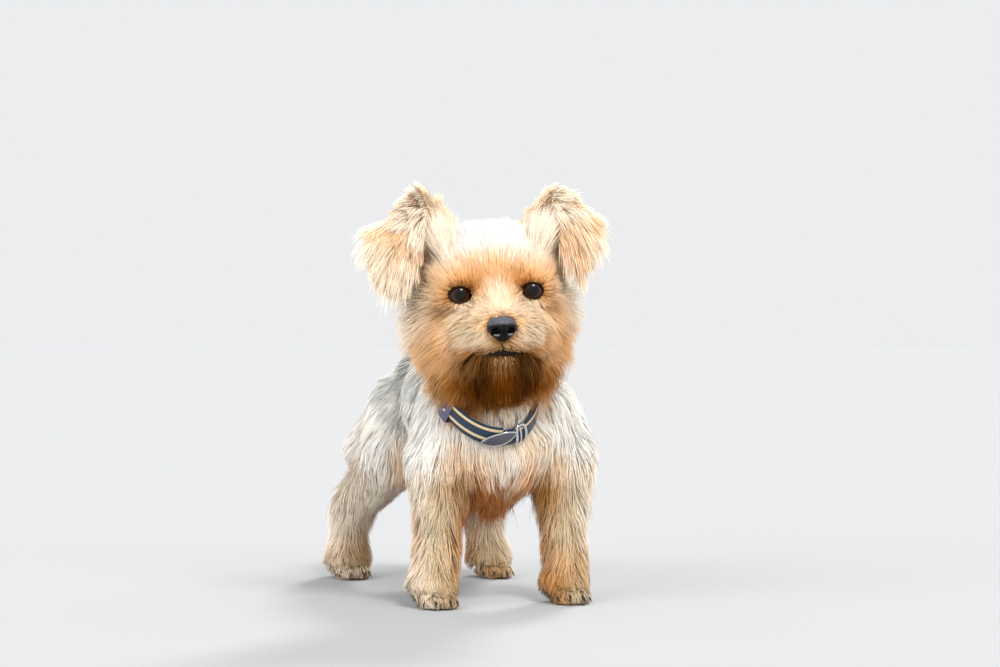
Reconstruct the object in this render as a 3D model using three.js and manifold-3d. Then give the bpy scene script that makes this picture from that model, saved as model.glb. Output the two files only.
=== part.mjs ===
// A standing Yorkshire terrier in a short trim, life size, in millimetres.
// It faces -Y, its left side is +X and the floor is Z = 0.
// Each part of the body is a core, a loft whose rings are pushed out to a smooth field made of tapered
// stretches of flesh, under locks of hair that follow the lie of the coat out to its tips.

import * as THREE from 'three';
import { LoftGeometry } from 'three/addons/geometries/LoftGeometry.js';
import { mergeVertices } from 'three/addons/utils/BufferGeometryUtils.js';
import Module from 'manifold-3d';

const wasm = await Module();
wasm.setup();

// Driving dimensions of the animal
const BACK = 184; // top of the bare withers above the floor
const CHEST_DEEP = 84; // withers to breastbone
const CHEST_WIDE = 76; // across the ribs
const TRUNK_LONG = 216; // point of the breast to the buttocks
const LEAN = 4; // how far the chest leans to its left
const FORE_Y = -78; // wrists, behind the breast
const EYES_APART = 51; // centre to centre
const EYE_R = 9.6; // eyeball
const NOSE = { wide: 21, high: 18 };
const HEAD_AT = [-9.3, -103, 219]; // centre of the skull
const HEAD_TURN = { yaw: -11.5, pitch: 5, roll: -3.5 }; // degrees
const STRAP = { wide: 13, thick: 2.4 }; // collar webbing

const GAP = 0.3; // clearance that touching solids keep
const CORE_SHARE = 0.5; // how much of the coat's depth the core fills, under the locks
const BLEND = 9; // how widely two stretches of flesh run together

const rad = THREE.MathUtils.degToRad;
const vec = (x, y, z) => new THREE.Vector3(x, y, z);
const UP = vec(0, 0, 1);
const DOWN = vec(0, 0, -1);
const UP_Y = vec(0, 1, 0);
const FORWARD = vec(0, -1, 0);

// The head's own frame: origin in the middle of the skull, forward is -Y
const headPose = new THREE.Matrix4()
  .makeTranslation(...HEAD_AT)
  .multiply(new THREE.Matrix4().makeRotationZ(rad(HEAD_TURN.yaw)))
  .multiply(new THREE.Matrix4().makeRotationX(rad(HEAD_TURN.pitch)))
  .multiply(new THREE.Matrix4().makeRotationY(rad(HEAD_TURN.roll)));
const onHead = (x, y, z) => vec(x, y, z).applyMatrix4(headPose);
const turnedWithHead = (x, y, z) => vec(x, y, z).transformDirection(headPose);
const headSide = turnedWithHead(1, 0, 0);
const headForward = turnedWithHead(0, -1, 0);
const headUp = turnedWithHead(0, 0, 1);

// A tapered stretch of flesh from one point to another, with its radius and coat depth at each end.
// wide stretches its section along side, and sleek is the share of the coat left where it faces sleekOn.
function stretch(from, to, radii, coats, options = {}) {
  return {
    from,
    along: to.clone().sub(from),
    radii,
    coats,
    wide: 1,
    side: vec(1, 0, 0),
    sleek: 1,
    sleekOn: headForward,
    ...options,
  };
}

// Signed distance from p to the surface of one stretch, with the given share of its coat
function stretchDistance(p, s, share) {
  const away = p.clone().sub(s.from);
  const long = s.along.lengthSq();
  const t = long > 0 ? THREE.MathUtils.clamp(away.dot(s.along) / long, 0, 1) : 0;
  away.addScaledVector(s.along, -t);
  away.addScaledVector(s.side, away.dot(s.side) * (1 / s.wide - 1));
  const far = away.length();
  const facing = far > 0 ? Math.max(0, away.dot(s.sleekOn) / far) : 0;
  const radius = THREE.MathUtils.lerp(s.radii[0], s.radii[1], t);
  const coat = THREE.MathUtils.lerp(s.coats[0], s.coats[1], t) * (1 - (1 - s.sleek) * facing);
  return far - radius - share * coat;
}

function smoothMin(a, b, k) {
  const h = Math.max(k - Math.abs(a - b), 0) / k;
  return Math.min(a, b) - (h * h * k) / 4;
}

// The field of several stretches that run together
const fieldOf = (stretches, share = CORE_SHARE, blend = BLEND) => (p) =>
  stretches.reduce((d, s) => smoothMin(d, stretchDistance(p, s, share), blend), Infinity);

// The flesh of the trunk
const spineZ = BACK - CHEST_DEEP / 2;
const breastY = FORE_Y - 2;
const rumpY = breastY - 30 + TRUNK_LONG - 16;
const ribR = CHEST_DEEP / 2;
const ribWide = CHEST_WIDE / CHEST_DEEP;
const trunkFlesh = [
  stretch(vec(LEAN, -60, spineZ), vec(1, 0, spineZ + 2), [ribR, ribR - 1], [10, 10], { wide: ribWide }),
  stretch(vec(LEAN, -66, BACK - 20), vec(2, -20, BACK - 19), [19, 17], [9, 8]),
  stretch(vec(1, 0, spineZ + 4), vec(0, 56, spineZ + 8), [37, 29], [10, 10], { wide: 0.94 }),
  stretch(vec(0, 56, spineZ + 8), vec(0, rumpY - 20, spineZ + 8), [30, 24], [10, 11]),
  stretch(vec(LEAN, breastY, 122), vec(LEAN - 2, breastY + 2, 146), [25, 24], [13, 9], { wide: 1.15 }),
  stretch(vec(LEAN, breastY + 6, 104), vec(LEAN, -34, 104), [14, 14], [20, 14]),
];

// The flesh of the head, in its own frame
const HEAD_WIDE = { wide: 1.06, side: headSide };
const FACE = { sleek: 0.22 };
const skullFlesh = [
  stretch(onHead(0, 12, 4), onHead(0, -4, 6), [30, 30], [24, 24], { ...HEAD_WIDE, ...FACE }),
  stretch(onHead(-13, -15, 13), onHead(13, -15, 13), [13, 13], [14, 14], { sleek: 0.25 }),
  stretch(onHead(-25, -15, 5), onHead(25, -15, 5), [12, 12], [9, 9], { sleek: 0.2 }),
  stretch(onHead(0, -24, -9), onHead(0, -47, -14), [16, 10.5], [4, 4], { wide: 1.1, side: headSide }),
  ...[1, -1].flatMap((s) => [
    stretch(onHead(s * 24, 4, -8), onHead(s * 20, -16, -16), [16, 13], [27, 20], FACE),
    stretch(onHead(s * 20, -4, -24), onHead(s * 23, -14, -42), [13, 9], [20, 15], FACE),
    stretch(onHead(s * 11, -32, -20), onHead(s * 6.5, -46, -19.5), [10, 8.5], [15, 5], { sleek: 0.6 }),
  ]),
];
const JAW_WIDE = { wide: 1.1, side: headSide };
const jawFlesh = [
  stretch(onHead(0, -8, -26), onHead(0, -43, -31), [13, 8], [8, 5], { ...JAW_WIDE, sleek: 0.5 }),
  stretch(onHead(0, -14, -36), onHead(0, -38, -42), [12, 8], [18, 22], { ...JAW_WIDE, sleek: 0.4 }),
];
const neckFlesh = [stretch(vec(1, -56, 158), vec(-5, -88, 196), [31, 26], [10, 12])];

// Legs: shoulder or hip, down to the toes, per side. side is +1 for the left.
const FORE = {
  left: { side: 1, shoulder: 40, elbow: 54, wrist: 55, paw: 52 },
  right: { side: -1, shoulder: 27, elbow: 37, wrist: 44, paw: 48.5 },
};
function foreleg({ side, shoulder, elbow, wrist, paw }) {
  const points = {
    shoulder: vec(side * shoulder, -67, 138),
    elbow: vec(side * elbow, -69, 102),
    wrist: vec(side * wrist, FORE_Y - 1, 36),
    heel: vec(side * paw, FORE_Y - 7, 14),
    toes: vec(side * (paw + 1), FORE_Y - 19, 10),
  };
  const flesh = [
    stretch(points.shoulder, points.elbow, [21, 16], [9, 12]),
    stretch(points.elbow, points.wrist, [13, 9], [14, 8]),
    stretch(points.wrist, points.heel, [9, 10], [7, 6]),
    stretch(points.heel, points.toes, [11, 9], [6, 4], { wide: 1.25 }),
  ];
  const curve = [
    points.shoulder,
    vec(side * (elbow - 1), -70, 104),
    vec(side * (wrist - 1), -76, 62),
    vec(side * wrist, FORE_Y - 3, 30),
    vec(side * paw, FORE_Y - 10, 0),
  ];
  return { flesh, curve };
}

const HIND = {
  left: { side: 1, hip: 21, knee: 38, hock: 51, paw: 56, y: 106 },
  right: { side: -1, hip: 21, knee: 34, hock: 50, paw: 55, y: 134 },
};
function hindleg({ side, hip, knee, hock, paw, y }) {
  const points = {
    hip: vec(side * hip, 78, 134),
    buttock: vec(side * (hip - 2), 90, 134),
    buttockEnd: vec(side * (hip + 8), 92, 116),
    knee: vec(side * knee, y / 4 + 34, 102),
    hock: vec(side * hock, y + 8, 56),
    heel: vec(side * paw, y + 2, 14),
    toes: vec(side * (paw + 1), y - 12, 10),
  };
  const flesh = [
    stretch(points.hip, points.knee, [24, 17], [9, 11]),
    stretch(points.buttock, points.buttockEnd, [20, 14], [10, 12]),
    stretch(points.knee, points.hock, [14, 9], [12, 10]),
    stretch(points.hock, points.heel, [9, 9.5], [9, 7]),
    stretch(points.heel, points.toes, [11, 9], [6, 4], { wide: 1.25 }),
  ];
  const curve = [
    vec(side * hip, 84, 146),
    vec(side * (hip + 9), 82, 118),
    vec(side * (knee + 3), y / 2 + 26, 88),
    vec(side * (hock - 2), y - 4, 62),
    vec(side * (hock + 2), y + 7, 36),
    vec(side * paw, y - 2, 0),
  ];
  return { flesh, curve };
}

const tailPoints = [
  vec(0, rumpY - 14, spineZ + 16),
  vec(-8, rumpY + 16, spineZ + 12),
  vec(-27, rumpY + 38, spineZ - 12),
  vec(-45, rumpY + 50, spineZ - 40),
];
const tailFlesh = [0, 1, 2].map((i) =>
  stretch(tailPoints[i], tailPoints[i + 1], [8 - 1.6 * i, 6.4 - 1.6 * i], [6 + 2 * i, 8 + 2 * i]),
);

// The distance from start along toward at which the field reaches level
function reach(start, toward, field, level = 0) {
  const STEP = 1.5;
  const FURTHEST = 140;
  let near = 0;
  let far = STEP;
  const at = (t) => field(start.clone().addScaledVector(toward, t)) - level;
  while (far < FURTHEST && at(far) < 0) {
    near = far;
    far += STEP;
  }
  for (let i = 0; i < 12; i++) {
    const middle = (near + far) / 2;
    if (at(middle) < 0) near = middle;
    else far = middle;
  }
  return near;
}

// Stations along a curve: points with the direction that a ring faces there. A round end gets rings
// that close over it; a flat end is a section that meets the next part.
function stationsAlong({ curve, from, to, rings, field, roundStart, roundEnd, facing }, grow) {
  const stations = [];
  for (let i = 0; i <= rings; i++) {
    const u = THREE.MathUtils.lerp(from, to, i / rings);
    const travel = curve.getTangentAt(u);
    stations.push({ point: curve.getPointAt(u), tangent: facing ? facing(u, travel) : travel });
  }
  const [first, last] = [stations[0], stations.at(-1)];
  if (!roundStart) first.point.addScaledVector(first.tangent, -grow);
  if (!roundEnd) last.point.addScaledVector(last.tangent, grow);
  const overEnd = (station, sign) => {
    const cap = reach(station.point, station.tangent.clone().multiplyScalar(sign), field, grow);
    return [0.45, 0.78, 0.95].map((share) => ({
      point: station.point.clone().addScaledVector(station.tangent, sign * share * cap),
      tangent: station.tangent,
    }));
  };
  if (roundStart) stations.unshift(...overEnd(first, -1).reverse());
  if (roundEnd) stations.push(...overEnd(last, 1));
  return stations;
}

// A closed loft whose rings are pushed out from the curve to the field's surface
function fleshLoft(spec, grow = 0) {
  const { up, sides, field } = spec;
  const sections = stationsAlong(spec, grow).map(({ point, tangent }) => {
    const across = up.clone().cross(tangent).normalize();
    const over = tangent.clone().cross(across);
    return Array.from({ length: sides }, (_, j) => {
      const a = ((j + 0.5) / sides) * 2 * Math.PI;
      const toward = across.clone().multiplyScalar(Math.cos(a)).addScaledVector(over, Math.sin(a));
      return point.clone().addScaledVector(toward, reach(point, toward, field, grow));
    });
  });
  return new LoftGeometry(sections, { capStart: true, capEnd: true });
}

// Draws that come out the same each time
function seededDraws(seed) {
  let state = seed;
  return () => {
    state = (state + 0x6d2b79f5) | 0;
    let t = Math.imul(state ^ (state >>> 15), 1 | state);
    t = (t + Math.imul(t ^ (t >>> 7), 61 | t)) ^ t;
    return ((t ^ (t >>> 14)) >>> 0) / 4294967296;
  };
}

// The direction in which a field rises fastest
function rise(field, p) {
  const E = 0.6;
  const slope = (x, y, z) =>
    field(p.clone().add(vec(x, y, z))) - field(p.clone().sub(vec(x, y, z)));
  return vec(slope(E, 0, 0), slope(0, E, 0), slope(0, 0, E)).normalize();
}

// A lock's sections, from its root to its tip: how far along it lies, how far it has risen from the core
// to the tips of the coat, and the share of its width
const LOCK = [
  { along: 0, risen: 0, width: 0.6 },
  { along: 0.5, risen: 0.8, width: 0.8 },
  { along: 1, risen: 1, width: 0 },
];
const SINK = 3.5; // how far a root goes below the core's surface

// A lock's middle line: from its root along the lie, each point with the direction out of the coat.
// A lock that hangs leaves the coat's surface past its middle and falls freely.
function lockLine({ root, lie, long, stretches, blend, tipShare, hangs }) {
  const at = root.clone();
  return LOCK.map(({ along, risen }, i) => {
    const field = fieldOf(stretches, THREE.MathUtils.lerp(CORE_SHARE, tipShare, risen), blend);
    const free = hangs && i === LOCK.length - 1;
    const level = i === 0 ? -SINK : 0;
    for (let k = 0; k < 3 && !free; k++) at.addScaledVector(rise(field, at), level - field(at));
    const out = rise(field, at);
    const place = { at: at.clone(), out };
    const way = lie(at, out);
    const slope = way.dot(out);
    way.addScaledVector(out, hangs && slope > 0 ? 0 : -slope).normalize();
    if (i < LOCK.length - 1) at.addScaledVector(way, long * (LOCK[i + 1].along - along));
    return place;
  });
}

// Whether a lock's line runs on without folding
const SHARPEST = Math.cos(rad(62));
const wayAlong = (line, i, j) => line[j].at.clone().sub(line[i].at).normalize();
const runsOn = (line) => wayAlong(line, 0, 1).dot(wayAlong(line, 1, 2)) > SHARPEST;

// A flat lock along a line, three-sided with a low ridge, that tapers to its tip. Its width has one
// direction from end to end, so that it bends but doesn't twist and its faces can't cross.
function lockLoft(line, wide, thick, grow) {
  const last = line.length - 1;
  const across = line[1].out.clone().cross(wayAlong(line, 0, last)).normalize();
  const sections = line.map(({ at }, i) => {
    const travel = wayAlong(line, Math.max(i - 1, 0), Math.min(i + 1, last));
    const over = travel.clone().cross(across).normalize();
    const share = LOCK[i].width;
    if (share === 0 && grow === 0) return [0, 1, 2].map(() => at.clone());
    const half = (wide / 2) * share;
    const high = thick * Math.sqrt(share);
    const w = half + 2 * grow * (share ? half / high : 1);
    const end = i === 0 ? -grow : share === 0 ? 2 * grow : 0;
    const corner = (a, b) =>
      at.clone().addScaledVector(across, a).addScaledVector(over, b).addScaledVector(travel, end);
    return [corner(w, -grow), corner(0, high + 1.2 * grow), corner(-w, -grow)];
  });
  return new LoftGeometry(sections, { capStart: true, capEnd: grow > 0 });
}

// The locks of one part, in rows round its curve or a row's own. Each row has its place u along the
// curve, its tilt toward the curve's start, how many locks it has and, in degrees, the arc they cover.
function locksOf(spec, { rows, lie, long, wide, thick = 2.6, tips = 1.05, hangs, keep, seed }) {
  const draw = seededDraws(seed);
  const vary = (value, share) => value * (1 + share * (2 * draw() - 1));
  const lines = [];
  rows.forEach(({ u, tilt = 0, count, arc = [0, 360], curve = spec.curve, up = spec.up, ...own }, k) => {
    const point = curve.getPointAt(u);
    const travel = curve.getTangentAt(u);
    const tangent = spec.facing ? spec.facing(u, travel) : travel;
    const across = up.clone().cross(tangent).normalize();
    const over = tangent.clone().cross(across);
    for (let j = 0; j < count; j++) {
      const share = (j + 0.25 + (k % 2) / 2 + 0.3 * (draw() - 0.5)) / count;
      const a = rad(THREE.MathUtils.lerp(...arc, share));
      const toward = across
        .clone()
        .multiplyScalar(Math.cos(a) * Math.cos(rad(tilt)))
        .addScaledVector(over, Math.sin(a) * Math.cos(rad(tilt)))
        .addScaledVector(tangent, -Math.sin(rad(tilt)));
      const root = point.clone().addScaledVector(toward, reach(point, toward, spec.field));
      const size = vary(own.long ?? long, 0.15);
      const tipShare = vary(tips, 0.06);
      const w = vary(own.wide ?? wide, 0.12);
      if (keep && !keep(root)) continue;
      const { flesh: stretches, blend } = spec;
      const line = lockLine({ root, lie, long: size, stretches, blend, tipShare, hangs });
      if (runsOn(line)) lines.push({ line, wide: w });
    }
  });
  return (grow) => lines.map(({ line, wide: w }) => lockLoft(line, w, thick, grow));
}

// The triangles whose three corners differ
function wholeTriangles(index) {
  const kept = [];
  for (let i = 0; i < index.length; i += 3) {
    const [a, b, c] = index.slice(i, i + 3);
    if (a !== b && b !== c && c !== a) kept.push(a, b, c);
  }
  return new Uint32Array(kept);
}

// A three.js geometry as a solid, and back
function solidFrom(geometry, closest = 1e-4) {
  const bare = new THREE.BufferGeometry().copy(geometry);
  bare.deleteAttribute('normal');
  bare.deleteAttribute('uv');
  const merged = mergeVertices(bare, closest);
  const vertProperties = new Float32Array(merged.attributes.position.array);
  const triVerts = wholeTriangles(merged.index.array);
  const solid = new wasm.Manifold(new wasm.Mesh({ numProp: 3, vertProperties, triVerts }));
  if (solid.volume() > 0) return solid;
  return new wasm.Manifold(new wasm.Mesh({ numProp: 3, vertProperties, triVerts: triVerts.reverse() }));
}

function geometryFrom(solid) {
  const mesh = solid.getMesh();
  const geometry = new THREE.BufferGeometry();
  geometry.setAttribute('position', new THREE.BufferAttribute(mesh.vertProperties, 3));
  geometry.setIndex(new THREE.BufferAttribute(mesh.triVerts, 1));
  geometry.computeVertexNormals();
  return geometry;
}

// An ellipsoid with the given half sizes, turned and placed by a matrix
function ellipsoid(halves, pose, segments = 14, rings = 9) {
  const ball = new THREE.SphereGeometry(1, segments, rings).rotateX(Math.PI / 2);
  return ball.scale(...halves).applyMatrix4(pose);
}

const curveThrough = (points, closed = false) => new THREE.CatmullRomCurve3(points, closed, 'centripetal');
const poseAt = (origin, x, y, z) => new THREE.Matrix4().makeBasis(x, y, z).setPosition(origin);
const headPoseAt = (x, y, z) => headPose.clone().multiply(new THREE.Matrix4().makeTranslation(x, y, z));

// Every node of the model: its name, material and shapes, each a function of how much it grows.
// Locks are kept apart from the shapes, as they reach out over the nodes beside them.
const nodes = [];
const addNode = (name, material, shapes, options = {}) =>
  nodes.push({ name, material, shapes, cuts: [], locks: () => [], ...options });

// A part of the body: its core, its locks and any other shapes
function addFlesh(name, material, spec, coat, { shapes = [], ...options } = {}) {
  const locks = coat ? locksOf(spec, coat) : () => [];
  addNode(name, material, [(grow) => fleshLoft(spec, grow), ...shapes], { locks, ...options });
}

// The collar lies on a tilted oval round the neck's foot, low in front and high behind.
// turn is an angle: -90 degrees is the front.
const COLLAR = { centre: vec(-8, -85, 161), halfWide: 37, halfLong: 51 };
const LAP = { from: -161, to: -100 }; // where the strap's end lies over it
const SLIDER = { from: -154, to: -146 };
const BUCKLE_TURN = -92;
const RING_TURN = -67;
const collarSide = vec(1, -0.06, 0).normalize();
const collarRise = vec(0, 0.644, 0.766);
function collarPlace(turn) {
  const at = COLLAR.centre
    .clone()
    .addScaledVector(collarSide, COLLAR.halfWide * Math.cos(turn))
    .addScaledVector(collarRise, COLLAR.halfLong * Math.sin(turn));
  const travel = collarSide
    .clone()
    .multiplyScalar(-COLLAR.halfWide * Math.sin(turn))
    .addScaledVector(collarRise, COLLAR.halfLong * Math.cos(turn))
    .normalize();
  const out = collarSide
    .clone()
    .multiplyScalar(Math.cos(turn))
    .addScaledVector(collarRise, Math.sin(turn))
    .addScaledVector(FORWARD, 0.55 * Math.max(0, -Math.sin(turn)));
  out.addScaledVector(travel, -out.dot(travel)).normalize();
  return { at, travel, out, wide: out.clone().cross(travel) };
}

// All that is on one side of the collar's plane: +1 for the neck's side, -1 for the chest's
function besideCollar(side) {
  const SIZE = 300;
  const normal = collarSide.clone().cross(collarRise).normalize();
  const centre = COLLAR.centre.clone().addScaledVector(normal, (side * (SIZE + GAP)) / 2);
  const pose = poseAt(centre, collarSide, normal.clone().cross(collarSide), normal);
  return new THREE.BoxGeometry(SIZE, SIZE, SIZE).applyMatrix4(pose);
}

// A band of webbing along the collar's oval between two angles, lifted off it, or the whole way round
function band({ from, to, steps, wide, thick, lift }, grow) {
  const whole = to - from > 359;
  const sections = [];
  for (let i = 0; i <= steps; i++) {
    const turn = rad(THREE.MathUtils.lerp(from, to, i / steps));
    const { at, travel, out, wide: across } = collarPlace(turn);
    const w = wide / 2 + grow;
    const t = thick / 2 + grow;
    const end = whole ? 0 : i === 0 ? -grow : i === steps ? grow : 0;
    const centre = at.clone().addScaledVector(out, lift).addScaledVector(travel, end);
    sections.push(
      [[w, -t], [w, t], [-w, t], [-w, -t]].map(([a, b]) =>
        centre.clone().addScaledVector(across, a).addScaledVector(out, b),
      ),
    );
  }
  if (whole) sections[steps] = sections[0];
  return new LoftGeometry(sections, { capStart: !whole, capEnd: !whole });
}

// The coat is pressed flat under the strap and parts round it
const WHOLE_LOOP = { from: -90, to: 270, steps: 24 };
const PARTING = { wide: STRAP.wide + 2, deep: 18, under: 1.8 };
const parting = (deep) => () =>
  band({ ...WHOLE_LOOP, wide: PARTING.wide, thick: deep, lift: deep / 2 - PARTING.under }, 0);
const strapLift = STRAP.thick + GAP;
addNode('collar_strap', 'navy', [(grow) => band({ ...WHOLE_LOOP, ...STRAP, lift: 0 }, grow)]);
addNode('collar_strap_end', 'navy', [
  (grow) => band({ from: LAP.from, to: LAP.to, steps: 6, ...STRAP, lift: strapLift }, grow),
]);
// The slider is a loop round both layers of the strap
const sliderParts = { wide: STRAP.wide + 3.6, thick: 2 * STRAP.thick + 4 };
addNode('collar_slider', 'steel', [
  (grow) => band({ from: SLIDER.from, to: SLIDER.to, steps: 2, ...sliderParts, lift: strapLift / 2 }, grow),
]);
const BUCKLE = { long: 10, wide: 6.5, thick: 1.5 }; // half sizes
addNode('collar_buckle', 'steel', [
  (grow) => {
    const { at, travel, out, wide } = collarPlace(rad(BUCKLE_TURN));
    const lift = STRAP.thick / 2 + GAP + BUCKLE.thick;
    const pose = poseAt(at.clone().addScaledVector(out, lift), travel, wide, out);
    return ellipsoid([BUCKLE.long + grow, BUCKLE.wide + grow, BUCKLE.thick + grow], pose, 12, 6);
  },
]);
const RING = { radius: 7, wire: 1.2, below: 4 };
addNode('collar_ring', 'steel', [
  (grow) => {
    const { at, travel, out, wide } = collarPlace(rad(RING_TURN));
    const lift = STRAP.thick / 2 + GAP + RING.wire;
    const centre = at.clone().addScaledVector(out, lift).addScaledVector(wide, -RING.below);
    const pose = poseAt(centre, travel, wide, out);
    return new THREE.TorusGeometry(RING.radius, RING.wire + grow, 5, 12).applyMatrix4(pose);
  },
]);

// Eyes and nose leather
const eyeAt = (s) => onHead((s * EYES_APART) / 2, -23.5, 8);
const eyeBall = (s, r) => ellipsoid([r, r, r], poseAt(eyeAt(s), headSide, headForward, headUp), 10, 7);
for (const [s, word] of [[1, 'left'], [-1, 'right']]) {
  addNode(`eye_${word}`, 'eye', [(grow) => eyeBall(s, EYE_R + grow)]);
}
const NOSE_SIDES = 12;
const NOSE_Z = -15;
// Each ring's place along the head and its shares of the nose's width and height
const NOSE_RINGS = [
  [-48, 0.8, 0.8],
  [-60, 1, 1],
  [-64.4, 0.84, 0.8],
  [-66.2, 0.4, 0.36],
];
const NOSTRIL = { x: 5.2, y: -65, z: -15.5, halves: [3, 4.2, 2] };
addNode('nose', 'black', [
  (grow) =>
    new LoftGeometry(
      NOSE_RINGS.map(([y, w, h], i) =>
        Array.from({ length: NOSE_SIDES }, (_, j) => {
          const a = (j / NOSE_SIDES) * 2 * Math.PI;
          const narrow = Math.sin(a) < 0 ? 1 + 0.28 * Math.sin(a) : 1;
          const out = i === 0 ? -grow : i === NOSE_RINGS.length - 1 ? grow : 0;
          return onHead(
            ((NOSE.wide / 2) * w + grow) * Math.cos(a) * narrow,
            y - out,
            NOSE_Z + ((NOSE.high / 2) * h + grow) * Math.sin(a),
          );
        }),
      ),
      { capStart: true, capEnd: true },
    ),
], {
  cuts: [1, -1].map((s) => () =>
    ellipsoid(
      NOSTRIL.halves,
      headPoseAt(s * NOSTRIL.x, NOSTRIL.y, NOSTRIL.z).multiply(new THREE.Matrix4().makeRotationY(s * 0.5)),
      8,
      5,
    ),
  ),
});

// The dark rims of the lips lie on the face's surface, from corner to corner of the mouth
const MOUTH = { z: -30.5, droop: 4.5, apart: 3.5 };
const LIP = { upper: 1.6, lower: 1.5 };
const mouthField = fieldOf([...skullFlesh, ...jawFlesh], CORE_SHARE, 7);
const mouthLine = (drop) =>
  curveThrough(
    [-1, -0.6, 0, 0.6, 1].map((t) => {
      const start = onHead(0, -24, MOUTH.z - MOUTH.droop * t * t - drop);
      const toward = turnedWithHead(Math.sin(t * 0.78), -Math.cos(t * 0.78), 0);
      return start.clone().addScaledVector(toward, reach(start, toward, mouthField));
    }),
  );
function tubeAlong(curve, radius, segments, sides) {
  const sections = [];
  for (let i = 0; i <= segments; i++) {
    const u = i / segments;
    const tangent = curve.getTangentAt(u);
    const across = headUp.clone().cross(tangent).normalize();
    const over = tangent.clone().cross(across);
    const r = radius * (0.45 + 0.55 * Math.sin(Math.PI * u));
    sections.push(
      Array.from({ length: sides }, (_, j) => {
        const a = (j / sides) * 2 * Math.PI;
        return curve
          .getPointAt(u)
          .addScaledVector(across, r * Math.cos(a))
          .addScaledVector(over, r * Math.sin(a));
      }),
    );
  }
  return new LoftGeometry(sections, { capStart: true, capEnd: true });
}
addNode('lip_upper', 'black', [(grow) => tubeAlong(mouthLine(0), LIP.upper + grow, 10, 6)]);
addNode('lip_lower', 'black', [(grow) => tubeAlong(mouthLine(MOUTH.apart), LIP.lower + grow, 10, 6)]);

// The lids are a shell round the eyeball with an almond opening
const LIDS = { thick: 1.4, wide: 15.5, high: 12.5 };
const lidBall = (s) => (grow) => eyeBall(s, EYE_R + GAP + LIDS.thick + grow);
function lidOpening(s) {
  const look = turnedWithHead(s * 0.3, -0.95, 0.02).normalize();
  const side = look.clone().cross(headUp).normalize();
  const over = side.clone().cross(look).normalize();
  const almond = new THREE.Shape();
  almond.moveTo(-LIDS.wide / 2, 0);
  almond.quadraticCurveTo(0, LIDS.high, LIDS.wide / 2, 0);
  almond.quadraticCurveTo(0, -LIDS.high * 0.9, -LIDS.wide / 2, 0);
  const prism = new THREE.ExtrudeGeometry(almond, { depth: 20, bevelEnabled: false, curveSegments: 5 });
  return prism.applyMatrix4(poseAt(eyeAt(s), side, over, look));
}

// The head: skull, cheeks and upper lips in one, and the lower jaw
const skullSpec = {
  curve: curveThrough([onHead(0, 16, 2), onHead(0, -10, 0), onHead(0, -30, -12), onHead(0, -46, -15)]),
  up: headUp,
  sides: 18,
  rings: 7,
  from: 0,
  to: 1,
  flesh: skullFlesh,
  field: fieldOf(skullFlesh, CORE_SHARE, 7),
  blend: 7,
  roundStart: true,
  roundEnd: true,
  facing: () => headForward,
};
// The room in the head under the mouth, which the lower jaw fills
const JAW_ROOM = { wide: 36, long: 90, high: 90, back: -8 };
function jawRoom(shrink) {
  const { wide, long, high, back } = JAW_ROOM;
  const top = MOUTH.z - MOUTH.apart / 2;
  const box = new THREE.BoxGeometry(wide - 2 * shrink, long - 2 * shrink, high - 2 * shrink);
  return box.translate(0, back - long / 2, top - high / 2).applyMatrix4(headPose);
}
const toHead = headPose.clone().invert();
// Hair on the head lies away from the nose, down on the cheeks and down behind the skull
const { smoothstep } = THREE.MathUtils;
function headLie(p) {
  const q = p.clone().applyMatrix4(toHead);
  const away = q.clone().sub(vec(0, -52, -6)).normalize();
  const cheek = smoothstep(Math.abs(q.x), 12, 40) * smoothstep(-q.z, -34, 10);
  const behind = smoothstep(q.y, -5, 30);
  away.z -= 0.95 * cheek + 0.9 * behind;
  return turnedWithHead(away.x, away.y, away.z);
}
// The curve down the middle of a jowl, whose hair makes the moustache
const JOWL = [[19, -8, -20], [22, -12, -30], [24, -14, -44]];
const jowl = (s) => curveThrough(JOWL.map(([x, y, z]) => onHead(s * x, y, z)));
addFlesh('head', 'tan', skullSpec, {
  rows: [
    { u: 0, tilt: 62, count: 3, wide: 30, long: 40 },
    { u: 0, tilt: 28, count: 7, wide: 32, long: 40 },
    { u: 0.16, count: 7, wide: 34, long: 38, arc: [-40, 220] },
    { u: 0.38, tilt: 4, count: 8, wide: 27 },
    { u: 0.3, count: 2, arc: [-40, 10], wide: 26 },
    { u: 0.3, count: 2, arc: [170, 220], wide: 26 },
    { u: 0.6, tilt: 8, count: 7, arc: [-50, 230], wide: 22 },
    { u: 0.76, count: 2, arc: [-50, 20], long: 26 },
    { u: 0.76, count: 2, arc: [160, 230], long: 26 },
    { curve: jowl(1), u: 0.5, count: 3, arc: [50, 170] },
    { curve: jowl(-1), u: 0.5, count: 3, arc: [10, 130] },
  ],
  lie: headLie,
  keep: (root) => {
    const q = root.clone().applyMatrix4(toHead);
    const nearEye = Math.hypot(Math.abs(q.x) - EYES_APART / 2, q.z - 8) < 15 && q.y < -12;
    return !nearEye;
  },
  long: 36,
  wide: 22,
  tips: 1.1,
  seed: 21,
}, {
  shapes: [lidBall(1), lidBall(-1)],
  cuts: [() => lidOpening(1), () => lidOpening(-1), () => jawRoom(0)],
});

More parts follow.
